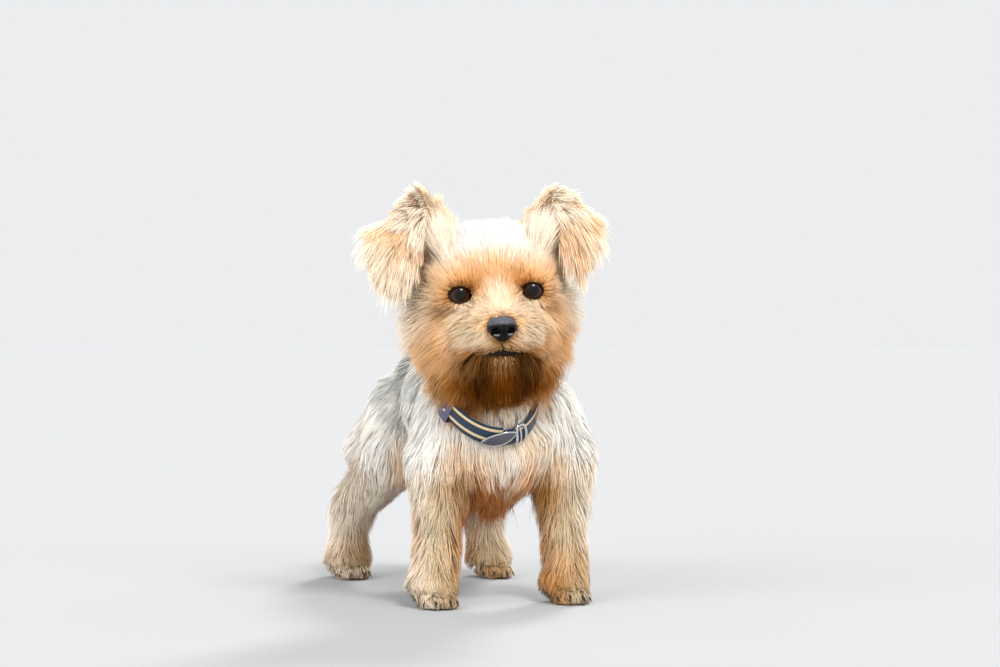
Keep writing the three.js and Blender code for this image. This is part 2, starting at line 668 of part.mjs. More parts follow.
const jawSpec = {
  curve: curveThrough([onHead(0, -14, -34), onHead(0, -28, -37), onHead(0, -42, -37)]),
  up: headUp,
  sides: 12,
  rings: 3,
  from: 0,
  to: 1,
  flesh: jawFlesh,
  field: fieldOf(jawFlesh),
  blend: BLEND,
  roundStart: true,
  roundEnd: true,
};
addFlesh('lower_jaw', 'dark_tan', jawSpec, {
  rows: [
    { u: 0.35, count: 3, arc: [190, 350] },
    { u: 0.9, count: 5, arc: [180, 360] },
    { u: 1, tilt: -35, count: 4, arc: [180, 360] },
  ],
  lie: (p) => {
    const q = p.clone().applyMatrix4(toHead);
    return turnedWithHead(q.x * 0.02, -0.12, -1);
  },
  hangs: true,
  long: 21,
  wide: 18,
  seed: 22,
}, { within: () => jawRoom(GAP) });

// An ear: one sheet from its base up to the fold, over it and down to the tip of the flap.
// Each ring has its middle, its half width as a vector and how deep its cup is.
const EAR_RINGS = {
  right: [
    { at: [-33, 12, 30], half: [-10, 4, -15], cup: 7 },
    { at: [-42, 11, 42], half: [-14, 3, -17], cup: 8 },
    { at: [-53, 9, 55], half: [-16, 1, -16], cup: 5 },
    { at: [-62, 3, 64], half: [-20, 0, -13], cup: 1 },
    { at: [-64.5, -6, 54], half: [-18, 1, -9], cup: -1 },
    { at: [-66, -9, 39], half: [-14.5, 2, -6.5], cup: -2 },
    { at: [-66, -10, 27], half: [-9.5, 2, -5], cup: -2 },
    { at: [-65, -11, 18], half: [-4, 0, -2.4], cup: 0 },
  ],
  left: [
    { at: [33, 12, 30], half: [10, 4, -15], cup: 7 },
    { at: [41, 11, 42], half: [13, 3, -15], cup: 8 },
    { at: [51, 9, 55], half: [13.5, 1, -13.5], cup: 5 },
    { at: [60, 3, 64.5], half: [15, 0, -11], cup: 1 },
    { at: [60.5, -6, 55], half: [12.5, 0, -8], cup: -1 },
    { at: [60, -10, 43], half: [10, 1, -5.6], cup: -2 },
    { at: [59, -12, 33], half: [6.5, 1, -3.4], cup: -2 },
    { at: [58, -13, 24], half: [2.6, 0, -1], cup: 0 },
  ],
};
const EAR_THICK = 4.5;
// The leather's place at u from base to tip: its middle, the way on, its width and the way out of its face
function earPlace(rings, u) {
  const middle = curveThrough(rings.map((r) => onHead(...r.at)));
  const halfOf = (r) => turnedWithHead(...r.half).multiplyScalar(Math.hypot(...r.half));
  const halves = curveThrough(rings.map(halfOf));
  const tangent = middle.getTangent(u);
  const half = halves.getPoint(u);
  const across = half.clone().addScaledVector(tangent, -half.dot(tangent)).normalize();
  const k = u * (rings.length - 1);
  const at = Math.min(Math.floor(k), rings.length - 2);
  return {
    middle: middle.getPoint(u),
    tangent,
    across,
    wide: half.length(),
    out: tangent.clone().cross(across).normalize(),
    cup: THREE.MathUtils.lerp(rings[at].cup, rings[at + 1].cup, k - at),
  };
}
function earSheet(rings, grow) {
  const STEPS = 10;
  const ROUND = [[1, 0], [0.55, 1], [0, 1], [-0.55, 1], [-1, 0], [-0.55, -1], [0, -1], [0.55, -1]];
  const sections = Array.from({ length: STEPS + 1 }, (_, i) => {
    const { middle, tangent, across, wide, out, cup } = earPlace(rings, i / STEPS);
    const end = i === 0 ? -grow : i === STEPS ? grow : 0;
    return ROUND.map(([s, face]) => {
      const thick = (EAR_THICK / 2 + 1.5 * grow) * face * Math.sqrt(1.15 - s * s);
      const beside = s * (wide + 3 * grow);
      return middle
        .clone()
        .addScaledVector(across, beside)
        .addScaledVector(out, thick + cup * (1 - (beside / wide) ** 2))
        .addScaledVector(tangent, end);
    });
  });
  return new LoftGeometry(sections, { capStart: true, capEnd: true });
}

// Locks fringe the leather's edges. Each has its place u, the edge s and how far it turns along the ear.
// inset is the share of the half width at which they are rooted.
const FRINGE = { long: 17, wide: 11, thick: 2.4, droop: 0.15, inset: 0.62 };
const EDGE_LOCKS = [
  { u: 0.28, s: 1, turn: 30 },
  { u: 0.42, s: 1, turn: 25 },
  { u: 0.42, s: -1, turn: 0 },
  { u: 0.6, s: 1, turn: 20 },
  { u: 0.74, s: -1, turn: 60 },
  { u: 0.78, s: 1, turn: 45 },
  { u: 0.92, s: 0.6, turn: 75 },
];
function earFringe(rings, seed) {
  const draw = seededDraws(seed);
  const lines = EDGE_LOCKS.map(({ u, s, turn }) => {
    const { middle, tangent, across, wide, out } = earPlace(rings, u);
    const way = across
      .clone()
      .multiplyScalar(Math.sign(s) * Math.cos(rad(turn)))
      .addScaledVector(tangent, Math.sin(rad(turn)));
    const root = middle.clone().addScaledVector(across, FRINGE.inset * s * wide);
    const long = FRINGE.long * (0.8 + 0.4 * draw());
    return LOCK.map(({ along }) => {
      const fallen = FRINGE.droop * long * along * along;
      return { at: root.clone().addScaledVector(way, along * long).addScaledVector(DOWN, fallen), out };
    });
  });
  return (grow) => lines.map((line) => lockLoft(line, FRINGE.wide, FRINGE.thick, grow));
}
['left', 'right'].forEach((word, i) => {
  const rings = EAR_RINGS[word];
  addNode(`ear_${word}`, 'tan', [(grow) => earSheet(rings, grow)], { locks: earFringe(rings, 70 + i) });
});

// The trunk, in three lengths that meet at flat sections
const trunkCurve = curveThrough([
  vec(LEAN, breastY - 4, 134),
  vec(LEAN, -50, spineZ),
  vec(1, 20, spineZ + 3),
  vec(0, rumpY - 22, spineZ + 6),
]);
const trunkGap = GAP / trunkCurve.getLength();
const TRUNK_CUTS = [0.3, 0.72]; // where the chest ends and where the rump starts
const trunkSpec = {
  curve: trunkCurve,
  up: UP,
  sides: 14,
  rings: 3,
  flesh: trunkFlesh,
  field: fieldOf(trunkFlesh),
  blend: BLEND,
};
const chestLie = (p) => vec((LEAN - p.x) * 0.012, 0.25, -1);
const trunkLie = (p, out) => vec(0, 1 - 0.35 * Math.abs(out.x), out.z > -0.3 ? -0.75 * Math.abs(out.x) : 0);
const rumpLie = (p, out) => vec(0, 1 - 0.4 * Math.abs(out.x), -0.4 - 0.5 * Math.abs(out.x));
addFlesh('chest', 'cream', { ...trunkSpec, from: 0, to: TRUNK_CUTS[0], roundStart: true }, {
  rows: [
    { u: 0, tilt: 60, count: 3 },
    { u: 0.01, tilt: 30, count: 6 },
    { u: 0.06, count: 7 },
    { u: 0.18, count: 6 },
  ],
  lie: chestLie,
  long: 42,
  wide: 26,
  seed: 11,
}, { cuts: [parting(PARTING.deep)], within: () => besideCollar(-1) });
addFlesh('trunk', 'silver', { ...trunkSpec, from: TRUNK_CUTS[0] + trunkGap, to: TRUNK_CUTS[1] }, {
  rows: [0.32, 0.45, 0.59].map((u) => ({ u, count: 6 })),
  lie: trunkLie,
  long: 44,
  wide: 34,
  thick: 3,
  seed: 12,
});
addFlesh('rump', 'silver', { ...trunkSpec, from: TRUNK_CUTS[1] + trunkGap, to: 1, roundEnd: true }, {
  rows: [
    { u: 0.76, count: 6 },
    { u: 0.92, count: 5 },
    { u: 1, tilt: -35, count: 4 },
  ],
  lie: rumpLie,
  long: 38,
  wide: 28,
  thick: 3,
  seed: 16,
});

const neckSpec = {
  curve: curveThrough([vec(1, -62, 150), vec(-3, -78, 176), vec(-7, -96, 208)]),
  up: FORWARD,
  sides: 10,
  rings: 2,
  from: 0,
  to: 1,
  flesh: neckFlesh,
  field: fieldOf(neckFlesh),
  blend: BLEND,
};
addFlesh('neck', 'cream', neckSpec, {
  rows: [{ u: 0.42, count: 3, arc: [210, 330] }],
  lie: () => vec(0, 0.5, -1),
  long: 28,
  wide: 28,
  seed: 14,
}, { cuts: [parting(PARTING.deep)], within: () => besideCollar(1) });

// One leg: three lengths along one curve, the last of which stands on the floor
function addLeg({ names, colours, leg, joints, rings, coats, cuts = [], toeShapes }) {
  const curve = curveThrough(leg.curve);
  const field = fieldOf(leg.flesh);
  const gap = GAP / curve.getLength();
  const level = (u, travel) => travel.clone().lerp(DOWN, smoothstep(u, joints[1] - 0.12, 0.95)).normalize();
  names.forEach((name, i) => {
    const last = i === names.length - 1;
    const spec = {
      curve,
      up: FORWARD,
      sides: 10,
      flesh: leg.flesh,
      field,
      blend: BLEND,
      from: i ? joints[i - 1] + gap : 0,
      to: last ? 1 : joints[i],
      rings: rings[i],
      roundStart: i === 0,
      facing: level,
    };
    addFlesh(name, colours[i], spec, coats[i], {
      onFloor: last,
      cuts: i ? [] : cuts,
      shapes: last ? toeShapes : [],
    });
  });
}

// Four toes of a paw, each with its claw, spread round the front of the heel
const TOE = { wide: 4.6, long: 8, high: 5.6 };
const CLAW = { thick: 1.3, long: 6 };
const TOES = [
  { turn: -34, reach: 13 },
  { turn: -12, reach: 17.5 },
  { turn: 12, reach: 17.5 },
  { turn: 34, reach: 13 },
];
function toesOf({ side, paw }, y) {
  const heel = vec(side * paw, y, 0);
  return TOES.flatMap(({ turn, reach: far }) => {
    const ahead = vec(Math.sin(rad(turn)), -Math.cos(rad(turn)), 0);
    const beside = vec(Math.cos(rad(turn)), Math.sin(rad(turn)), 0);
    const toe = heel.clone().addScaledVector(ahead, far).setZ(5);
    const clawTip = toe.clone().addScaledVector(ahead, TOE.long + CLAW.long - 2).setZ(2.2);
    const clawRoot = toe.clone().addScaledVector(ahead, TOE.long - 4.5).setZ(5.5);
    const clawWay = clawTip.clone().sub(clawRoot);
    return [
      (grow) =>
        ellipsoid([TOE.wide + grow, TOE.long + grow, TOE.high + grow], poseAt(toe, beside, ahead, UP), 6, 4),
      (grow) => {
        const cone = new THREE.ConeGeometry(CLAW.thick + grow, clawWay.length() + grow, 4);
        const turnToWay = new THREE.Quaternion().setFromUnitVectors(UP_Y, clawWay.clone().normalize());
        const at = clawRoot.clone().addScaledVector(clawWay, 0.5);
        return cone.applyQuaternion(turnToWay).translate(at.x, at.y, at.z);
      },
    ];
  });
}

const legLie = (p, out) => vec(out.x * 0.2, 0.3 + out.y * 0.2, -1);
for (const word of ['left', 'right']) {
  const seed = word === 'left' ? 30 : 40;
  addLeg({
    names: [`upper_arm_${word}`, `foreleg_${word}`, `forepaw_${word}`],
    colours: ['cream', 'tan', 'tan'],
    leg: foreleg(FORE[word]),
    joints: [0.34, 0.8],
    rings: [3, 4, 3],
    coats: [
      {
        rows: [{ u: 0.02, tilt: 30, count: 4 }, { u: 0.15, count: 5 }],
        lie: () => vec(0, 0.4, -1),
        long: 38,
        wide: 29,
        seed,
      },
      {
        rows: [{ u: 0.37, count: 5 }, { u: 0.51, count: 4 }, { u: 0.65, count: 4 }],
        lie: legLie,
        long: 33,
        wide: 24,
        seed: seed + 1,
      },
      null,
    ],
    cuts: [parting(PARTING.deep + 6)],
    toeShapes: toesOf(FORE[word], FORE_Y - 9),
  });
}
for (const word of ['left', 'right']) {
  const seed = word === 'left' ? 50 : 60;
  addLeg({
    names: [`thigh_${word}`, `shank_${word}`, `hindpaw_${word}`],
    colours: ['silver', 'tan', 'tan'],
    leg: hindleg(HIND[word]),
    joints: [0.36, 0.68],
    rings: [3, 3, 5],
    coats: [
      {
        rows: [{ u: 0.02, tilt: 30, count: 5 }, { u: 0.16, count: 5 }],
        lie: () => vec(0, 0.55, -1),
        long: 42,
        wide: 29,
        thick: 3,
        seed,
      },
      {
        rows: [{ u: 0.4, count: 5 }, { u: 0.53, count: 4 }],
        lie: legLie,
        long: 33,
        wide: 22,
        seed: seed + 1,
      },
      null,
    ],
    toeShapes: toesOf(HIND[word], HIND[word].y - 3),
  });
}

const tailSpec = {
  curve: curveThrough(tailPoints),
  up: vec(1, 0, 0),
  sides: 8,
  rings: 5,
  from: 0,
  to: 1,
  flesh: tailFlesh,
  field: fieldOf(tailFlesh, CORE_SHARE, 4),
  blend: 4,
  roundEnd: true,
  roundStart: true,
};
addFlesh('tail', 'silver', tailSpec, {
  rows: [0.25, 0.5, 0.75].map((u) => ({ u, count: 4 })),
  lie: (p, out) => vec(-0.4 + 0.2 * out.x, 0.35, -0.9),
  long: 42,
  wide: 18,
  tips: 1.15,
  seed: 15,
});

// Colours of the coat, skin, leather and metal
const materials = {
  silver: new THREE.MeshStandardMaterial({ color: 0xb9bcc2, roughness: 0.8, metalness: 0 }),
  cream: new THREE.MeshStandardMaterial({ color: 0xe9dccb, roughness: 0.8, metalness: 0 }),
  tan: new THREE.MeshStandardMaterial({ color: 0xc98d4f, roughness: 0.8, metalness: 0 }),
  dark_tan: new THREE.MeshStandardMaterial({ color: 0x7a4312, roughness: 0.8, metalness: 0 }),
  black: new THREE.MeshStandardMaterial({ color: 0x1c1b1c, roughness: 0.35, metalness: 0 }),
  eye: new THREE.MeshStandardMaterial({ color: 0x2a1508, roughness: 0.08, metalness: 0 }),
  navy: new THREE.MeshStandardMaterial({ color: 0x1d3a5a, roughness: 0.75, metalness: 0 }),
  steel: new THREE.MeshStandardMaterial({ color: 0x8a8e92, roughness: 0.3, metalness: 1 }),
};

const FLOOR_BOX = 600;
const underFloor = solidFrom(
  new THREE.BoxGeometry(FLOOR_BOX, FLOOR_BOX, FLOOR_BOX).translate(0, 0, -FLOOR_BOX / 2),
);
const joined = (shapes, grow) =>
  wasm.Manifold.union(shapes.flatMap((shape) => shape(grow)).map((geometry) => solidFrom(geometry)));
const largest = (solid) => solid.decompose().sort((a, b) => b.volume() - a.volume())[0];
const boxesMeet = (a, b) => [0, 1, 2].every((i) => a.min[i] < b.max[i] && b.min[i] < a.max[i]);

// One solid cut clear of others
function clearOf(solid, others) {
  const box = solid.boundingBox();
  return others
    .filter((other) => boxesMeet(box, other.boundingBox()))
    .reduce((left, other) => left.subtract(other), solid);
}

// Vertices closer than this are one vertex, and only the largest closed surface is kept
const FINEST = 0.03;
const settled = (solid) => largest(solidFrom(geometryFrom(largest(solid)), FINEST));

// Cores are made in order, and each later one is cut clear of those before it by the gap
for (const node of nodes) {
  const cuts = node.cuts.map((cut) => solidFrom(cut()));
  if (node.onFloor) cuts.push(underFloor);
  const within = (solid) => (node.within ? solid.intersect(solidFrom(node.within())) : solid);
  node.cuts = cuts;
  node.grown = clearOf(within(joined(node.shapes, GAP)), cuts);
  const before = nodes.slice(0, nodes.indexOf(node)).map((earlier) => earlier.grown);
  node.core = clearOf(within(joined(node.shapes, 0)), [...before, ...cuts]);
}

// Locks reach over the cores of the other nodes, clear of them and of the locks made before
const LOCK_GAP = 1.5 * GAP;
const grownLocks = [];
const dog = new THREE.Group();
for (const node of nodes) {
  let solid = node.core;
  if (node.locks(0).length) {
    const cores = nodes.filter((other) => other !== node).map((other) => other.grown);
    const locks = clearOf(joined([node.locks], 0), [...node.cuts, ...cores, ...grownLocks, underFloor]);
    solid = solid.add(locks);
    grownLocks.push(joined([node.locks], LOCK_GAP));
  }
  const mesh = new THREE.Mesh(geometryFrom(settled(solid)), materials[node.material]);
  mesh.name = node.name;
  dog.add(mesh);
}

// The origin is on the floor, below the middle of the whole model's box
const bounds = new THREE.Box3().setFromObject(dog);
const middle = bounds.getCenter(vec(0, 0, 0));
dog.position.set(-middle.x, -middle.y, 0);

export default dog;
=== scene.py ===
"""A standing Yorkshire terrier in a short trim: skin, coat, face, claws and collar, on a pale floor."""

import itertools
import math

import bpy
import numpy as np
from mathutils import Matrix, Vector


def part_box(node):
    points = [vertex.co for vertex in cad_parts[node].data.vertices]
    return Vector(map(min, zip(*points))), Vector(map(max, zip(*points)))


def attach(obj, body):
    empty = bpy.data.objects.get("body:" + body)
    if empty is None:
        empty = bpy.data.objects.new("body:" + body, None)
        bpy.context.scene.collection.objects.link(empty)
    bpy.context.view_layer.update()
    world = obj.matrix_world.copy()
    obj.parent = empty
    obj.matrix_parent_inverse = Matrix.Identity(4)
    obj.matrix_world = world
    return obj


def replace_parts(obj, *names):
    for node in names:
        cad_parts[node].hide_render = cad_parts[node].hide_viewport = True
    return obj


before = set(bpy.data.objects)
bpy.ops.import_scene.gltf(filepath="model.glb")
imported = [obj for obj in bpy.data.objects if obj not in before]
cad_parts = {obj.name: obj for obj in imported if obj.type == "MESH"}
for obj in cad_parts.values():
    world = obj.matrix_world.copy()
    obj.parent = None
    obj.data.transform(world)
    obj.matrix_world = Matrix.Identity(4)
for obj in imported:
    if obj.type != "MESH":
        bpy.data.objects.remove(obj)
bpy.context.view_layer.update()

# Lengths are millimetres in the dog's own frame: it faces -Y, its left side is +X and the floor is Z = 0.
# Driving dimensions of the animal, the same as the solids have
BACK = 184.0
CHEST_DEEP = 84.0
CHEST_WIDE = 76.0
TRUNK_LONG = 216.0
LEAN = 4.0
FORE_Y = -78.0
EYES_APART = 51.0
EYE_R = 9.6
EYE_BACK, EYE_UP = -23.5, 8.0
HEAD_AT = np.array([-9.3, -103.0, 219.0])
HEAD_TURN = {"yaw": -11.5, "pitch": 5.0, "roll": -3.5}
NOSE_MIDDLE = np.array([0.0, -57.0, -15.0])

rng = np.random.default_rng(5)


def unit(v):
    """Vectors made one long"""
    return v / np.maximum(np.linalg.norm(v, axis=-1, keepdims=True), 1e-9)


def turned(axis, degrees):
    return np.array(Matrix.Rotation(math.radians(degrees), 3, axis))


head_turn = turned("Z", HEAD_TURN["yaw"]) @ turned("X", HEAD_TURN["pitch"]) @ turned("Y", HEAD_TURN["roll"])


def on_head(x, y, z):
    return head_turn @ np.array([x, y, z], float) + HEAD_AT


def in_head(points):
    return (points - HEAD_AT) @ head_turn


def out_of_head(points):
    return points @ head_turn.T + HEAD_AT


def from_head(directions):
    return np.asarray(directions, float) @ head_turn.T


EYES = {side: on_head(side * EYES_APART / 2, EYE_BACK, EYE_UP) for side in (1, -1)}
eye_low, eye_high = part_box("eye_left")
SHIFT = np.array((eye_low + eye_high) / 2) * 1000 - EYES[1]


def to_frame(points):
    """Millimetres of the dog's frame to metres of the model's"""
    return (np.asarray(points) + SHIFT) / 1000


def smoothstep(x, low, high):
    t = np.clip((x - low) / (high - low), 0, 1)
    return t * t * (3 - 2 * t)


def mix(a, b, share):
    return a + (b - a) * share


def laid(rows, over, share):
    """Rows of values, or one row, with a share of others laid over each"""
    return mix(rows, over, share[:, None])


def columns(*values):
    """Rows made of these columns, each an array or one number"""
    return np.stack(np.broadcast_arrays(*values), 1)


def joined(a, b, reach):
    """The lower of two distances, with a smooth join where they are nearly the same"""
    h = np.maximum(reach - np.abs(a - b), 0) / reach
    return np.minimum(a, b) - h * h * reach / 4


def lattice(low, step, size):
    """The points of a grid"""
    return low + step * np.stack(np.meshgrid(*[np.arange(n) for n in size], indexing="ij"), -1)


# Flesh is tapered stretches, each with a radius and a depth of coat at its two ends
def stretch(part, start, end, radii, coats, wide=1.0, side=(1, 0, 0), sleek=1.0, blend=9.0):
    """wide stretches a section along side, and sleek is the share of coat left where it faces forward."""
    return {
        "part": part,
        "start": np.array(start, float),
        "along": np.array(end, float) - np.array(start, float),
        "radii": radii,
        "coats": coats,
        "wide": wide,
        "side": np.array(side, float),
        "sleek": sleek,
        "blend": blend,
    }


head_forward = from_head((0, -1, 0))
head_side = from_head((1, 0, 0))
PARTS = [
    "head", "jaw", "neck", "trunk", "tail",
    "foreleg_left", "foreleg_right", "hindleg_left", "hindleg_right", "ear_left", "ear_right",
]
spine_z = BACK - CHEST_DEEP / 2
breast_y = FORE_Y - 2
rump_y = breast_y - 30 + TRUNK_LONG - 16


def trunk_flesh():
    rib = CHEST_DEEP / 2
    rib_wide = CHEST_WIDE / CHEST_DEEP
    return [
        stretch("trunk", (LEAN, -60, spine_z), (1, 0, spine_z + 2), (rib, rib - 1), (10, 10), rib_wide),
        stretch("trunk", (LEAN, -66, BACK - 20), (2, -20, BACK - 19), (19, 17), (9, 8)),
        stretch("trunk", (1, 0, spine_z + 4), (0, 56, spine_z + 8), (37, 29), (10, 10), 0.94),
        stretch("trunk", (0, 56, spine_z + 8), (0, rump_y - 20, spine_z + 8), (30, 24), (10, 11)),
        stretch("trunk", (LEAN, breast_y, 122), (LEAN - 2, breast_y + 2, 146), (25, 24), (13, 9), 1.15),
        stretch("trunk", (LEAN, breast_y + 6, 104), (LEAN, -34, 104), (14, 14), (20, 14)),
        stretch("neck", (1, -56, 158), (-5, -88, 196), (31, 26), (10, 12)),
    ]


def head_flesh():
    def bone(part, a, b, radii, coats, **more):
        options = {"side": head_side, "blend": 7.0, **more}
        return stretch(part, on_head(*a), on_head(*b), radii, coats, **options)

    flesh = [
        bone("head", (0, 12, 4), (0, -4, 6), (30, 30), (24, 24), wide=1.06, sleek=0.22),
        bone("head", (-13, -15, 13), (13, -15, 13), (13, 13), (14, 14), sleek=0.25),
        bone("head", (-25, -15, 5), (25, -15, 5), (12, 12), (9, 9), sleek=0.2),
        bone("head", (0, -24, -9), (0, -47, -14), (16, 10.5), (4, 4), wide=1.1),
        bone("jaw", (0, -8, -26), (0, -43, -31), (13, 8), (8, 5), wide=1.1, sleek=0.5),
        bone("jaw", (0, -14, -36), (0, -38, -42), (12, 8), (18, 22), wide=1.1, sleek=0.4),
    ]
    for s, more in ((1, 3), (-1, 8)):
        flesh += [
            bone("head", (s * 24, 4, -8), (s * 20, -16, -16), (16, 13), (27 + more, 20 + more), sleek=0.22),
            bone("head", (s * 20, -4, -24), (s * 23, -14, -42), (13, 9), (24 + more, 21 + more), sleek=0.22),
            bone("head", (s * 11, -32, -20), (s * 6.5, -46, -19.5), (10, 8.5), (15, 5), sleek=0.6),
        ]
    return flesh


# Shoulder or hip down to the toes, as distances from the middle line
FORE = {"left": (1, 40, 54, 55, 52), "right": (-1, 27, 37, 44, 48.5)}
HIND = {"left": (1, 21, 38, 51, 56, 106), "right": (-1, 21, 34, 50, 55, 134)}
TOES = [(-34, 13), (-12, 17.5), (12, 17.5), (34, 13)]


def paw_toes(part, side, paw, y):
    """The toes of one paw and, for each claw, its root and its tip"""
    heel = np.array([side * paw, y, 0])
    flesh, claws = [], []
    for turn, far in TOES:
        ahead = np.array([math.sin(math.radians(turn)), -math.cos(math.radians(turn)), 0])
        toe = heel + ahead * far + (0, 0, 5)
        flesh.append(stretch(part, toe - ahead * 5, toe + ahead * 3.6, (4.6, 4.3), (2, 1.6), blend=2.5))
        claws.append((toe + ahead * 4.5 + (0, 0, 1.6), toe + ahead * 11 - (0, 0, 3.6)))
    return flesh, claws


def limb(part, points, girths):
    """Stretches from point to point, each with its radii and coats, the last one a broad foot"""
    flesh = [stretch(part, a, b, *girth) for (a, b), girth in zip(itertools.pairwise(points), girths)]
    flesh[-1]["wide"] = 1.25
    return flesh


def foreleg(word):
    side, shoulder, elbow, wrist, paw = FORE[word]
    part = f"foreleg_{word}"
    points = [
        (side * shoulder, -67, 138),
        (side * elbow, -69, 102),
        (side * wrist, FORE_Y - 1, 36),
        (side * paw, FORE_Y - 7, 14),
        (side * (paw + 1), FORE_Y - 17, 9),
    ]
    girths = [((21, 16), (9, 12)), ((13, 9), (14, 8)), ((9, 10), (7, 6)), ((10, 6), (6, 4))]
    toes, claws = paw_toes(part, side, paw, FORE_Y - 9)
    return limb(part, points, girths) + toes, claws


def hindleg(word):
    side, hip, knee, hock, paw, y = HIND[word]
    part = f"hindleg_{word}"
    points = [
        (side * hip, 78, 134),
        (side * knee, y / 4 + 34, 102),
        (side * hock, y + 8, 56),
        (side * paw, y + 2, 14),
        (side * (paw + 1), y - 10, 9),
    ]
    girths = [((24, 17), (9, 11)), ((14, 9), (12, 10)), ((9, 9.5), (9, 7)), ((10, 6), (6, 4))]
    flesh = limb(part, points, girths)
    buttock = [(side * (hip - 2), 90, 134), (side * (hip + 8), 92, 116)]
    flesh.insert(1, stretch(part, *buttock, (20, 14), (10, 12)))
    toes, claws = paw_toes(part, side, paw, y - 3)
    return flesh + toes, claws


def tail_flesh():
    points = [
        (0, rump_y - 14, spine_z + 16),
        (-8, rump_y + 16, spine_z + 12),
        (-27, rump_y + 38, spine_z - 12),
        (-45, rump_y + 50, spine_z - 40),
    ]
    return [
        stretch("tail", a, b, (8 - 1.6 * i, 6.4 - 1.6 * i), (6 + 2 * i, 8 + 2 * i), blend=4)
        for i, (a, b) in enumerate(itertools.pairwise(points))
    ]


# The field is kept on a grid: the distance to the skin, to the coat's outer face, and the nearest part
STEP = 2.5
LOW = np.array([-100.0, -192.0, -8.0])
SIZE = np.array([81, 146, 121])
FAR = 60.0
MARGIN = 26.0
SOLE = 0.6
grid_points = lattice(LOW, STEP, SIZE)


def lay_stretch(grids, nearest, s):
    """Blends one stretch into the grids, in the block round it."""
    ends = np.array([s["start"], s["start"] + s["along"]])
    reach = (max(s["radii"]) + max(s["coats"])) * max(s["wide"], 1) + MARGIN
    first = np.clip(np.floor((ends.min(0) - reach - LOW) / STEP).astype(int), 0, SIZE)
    last = np.clip(np.ceil((ends.max(0) + reach - LOW) / STEP).astype(int), 0, SIZE)
    block = tuple(slice(a, b) for a, b in zip(first, last))
    away = grid_points[block].astype(np.float32) - s["start"]
    t = np.clip(away @ s["along"] / max(s["along"] @ s["along"], 1e-6), 0, 1)[..., None]
    away = away - t * s["along"]
    away += (away @ s["side"] * (1 / s["wide"] - 1))[..., None] * s["side"]
    far = np.linalg.norm(away, axis=-1)
    facing = np.clip(away @ head_forward / np.maximum(far, 1e-6), 0, 1)
    t = t[..., 0]
    skin = far - mix(*s["radii"], t)
    coat = skin - mix(*s["coats"], t) * (1 - (1 - s["sleek"]) * facing)
    closest = coat < nearest["far"][block]
    nearest["far"][block][closest] = coat[closest]
    nearest["part"][block][closest] = PARTS.index(s["part"])
    for grid, value in zip(grids, (skin, coat)):
        grid[block] = joined(grid[block], value, s["blend"])


def slope_of(grid):
    return np.stack(np.gradient(grid, STEP), -1).astype(np.float32)


def sample(grid, points):
    """Values of a grid between its points, by linear mixing"""
    place = np.clip((points - LOW) / STEP, 0, SIZE - 1.001)
    cell = place.astype(int)
    share = place - cell
    total = 0
    for corner in itertools.product((0, 1), repeat=3):
        weight = np.prod(np.where(corner, share, 1 - share), -1)
        value = grid[tuple((cell + corner).T)]
        total = total + (value.T * weight).T
    return total


def surface_net(values, low, step):
    """The zero surface of a grid of distances: a vertex in each mixed cell, and quads that face out"""
    inside = values < 0
    cells = np.array(values.shape) - 1
    windows = [
        inside[tuple(slice(c, c + n) for c, n in zip(corner, cells))]
        for corner in itertools.product((0, 1), repeat=3)
    ]
    count = np.sum(windows, axis=0)
    mixed = (count > 0) & (count < 8)
    number = np.full(cells, -1)
    number[mixed] = np.arange(mixed.sum())
    points = low + step * (np.argwhere(mixed) + 0.5)
    quads = []
    for axis in range(3):
        near = np.take(inside, range(values.shape[axis] - 1), axis)
        far = np.take(inside, range(1, values.shape[axis]), axis)
        at = np.argwhere(near != far)
        b, c = np.eye(3, dtype=int)[[(axis + 1) % 3, (axis + 2) % 3]]
        quad = np.stack([number[tuple((at - offset).T)] for offset in (0 * b, b, b + c, c)], 1)
        flip = far[tuple(at.T)]
        quad[flip] = quad[flip][:, ::-1]
        quads.append(quad)
    return points, np.concatenate(quads)


def smoothed(points, quads, rounds):
    """Points moved to the mean of their neighbours"""
    a, b = quads.ravel(), np.roll(quads, -1, 1).ravel()
    number = np.bincount(a, minlength=len(points)) + np.bincount(b, minlength=len(points))
    for _ in range(rounds):
        total = [
            np.bincount(a, points[b, k], len(points)) + np.bincount(b, points[a, k], len(points))
            for k in range(3)
        ]
        points = np.stack(total, 1) / number[:, None]
    return points


flesh = trunk_flesh() + head_flesh() + tail_flesh()
claw_lines = {}
for word in ("left", "right"):
    for leg in (foreleg, hindleg):
        stretches, claw_lines[f"{leg.__name__}_{word}"] = leg(word)
        flesh += stretches

grid_skin = np.full(SIZE, FAR, np.float32)
grid_coat = np.full(SIZE, FAR, np.float32)
nearest = {"far": np.full(SIZE, FAR, np.float32), "part": np.zeros(SIZE, np.int8)}
for one in flesh:
    lay_stretch((grid_skin, grid_coat), nearest, one)
grid_skin = np.maximum(grid_skin, (SOLE - grid_points[..., 2]).astype(np.float32))
# The lids are a shell round each eyeball, open in front, where the skin passes behind the ball's face
OPEN_WIDE, OPEN_HIGH = 7.4, 5.3
LID_PROUD = 0.7
for eye in EYES.values():
    local = (grid_points - eye) @ head_turn
    shell = np.linalg.norm(local, axis=-1) - (EYE_R + LID_PROUD)
    grid_skin = joined(grid_skin, shell, 3)
    grid_coat = np.minimum(grid_coat, shell - 1.5)
    opening = (np.hypot(local[..., 0] / OPEN_WIDE, local[..., 2] / OPEN_HIGH) - 1.08) * OPEN_HIGH
    opening = np.maximum(opening, local[..., 1] + 3)
    grid_skin = np.maximum(grid_skin, -opening)
grid_skin = grid_skin.astype(np.float32)
grid_coat = grid_coat.astype(np.float32)
grid_slope = slope_of((grid_skin + grid_coat) / 2)


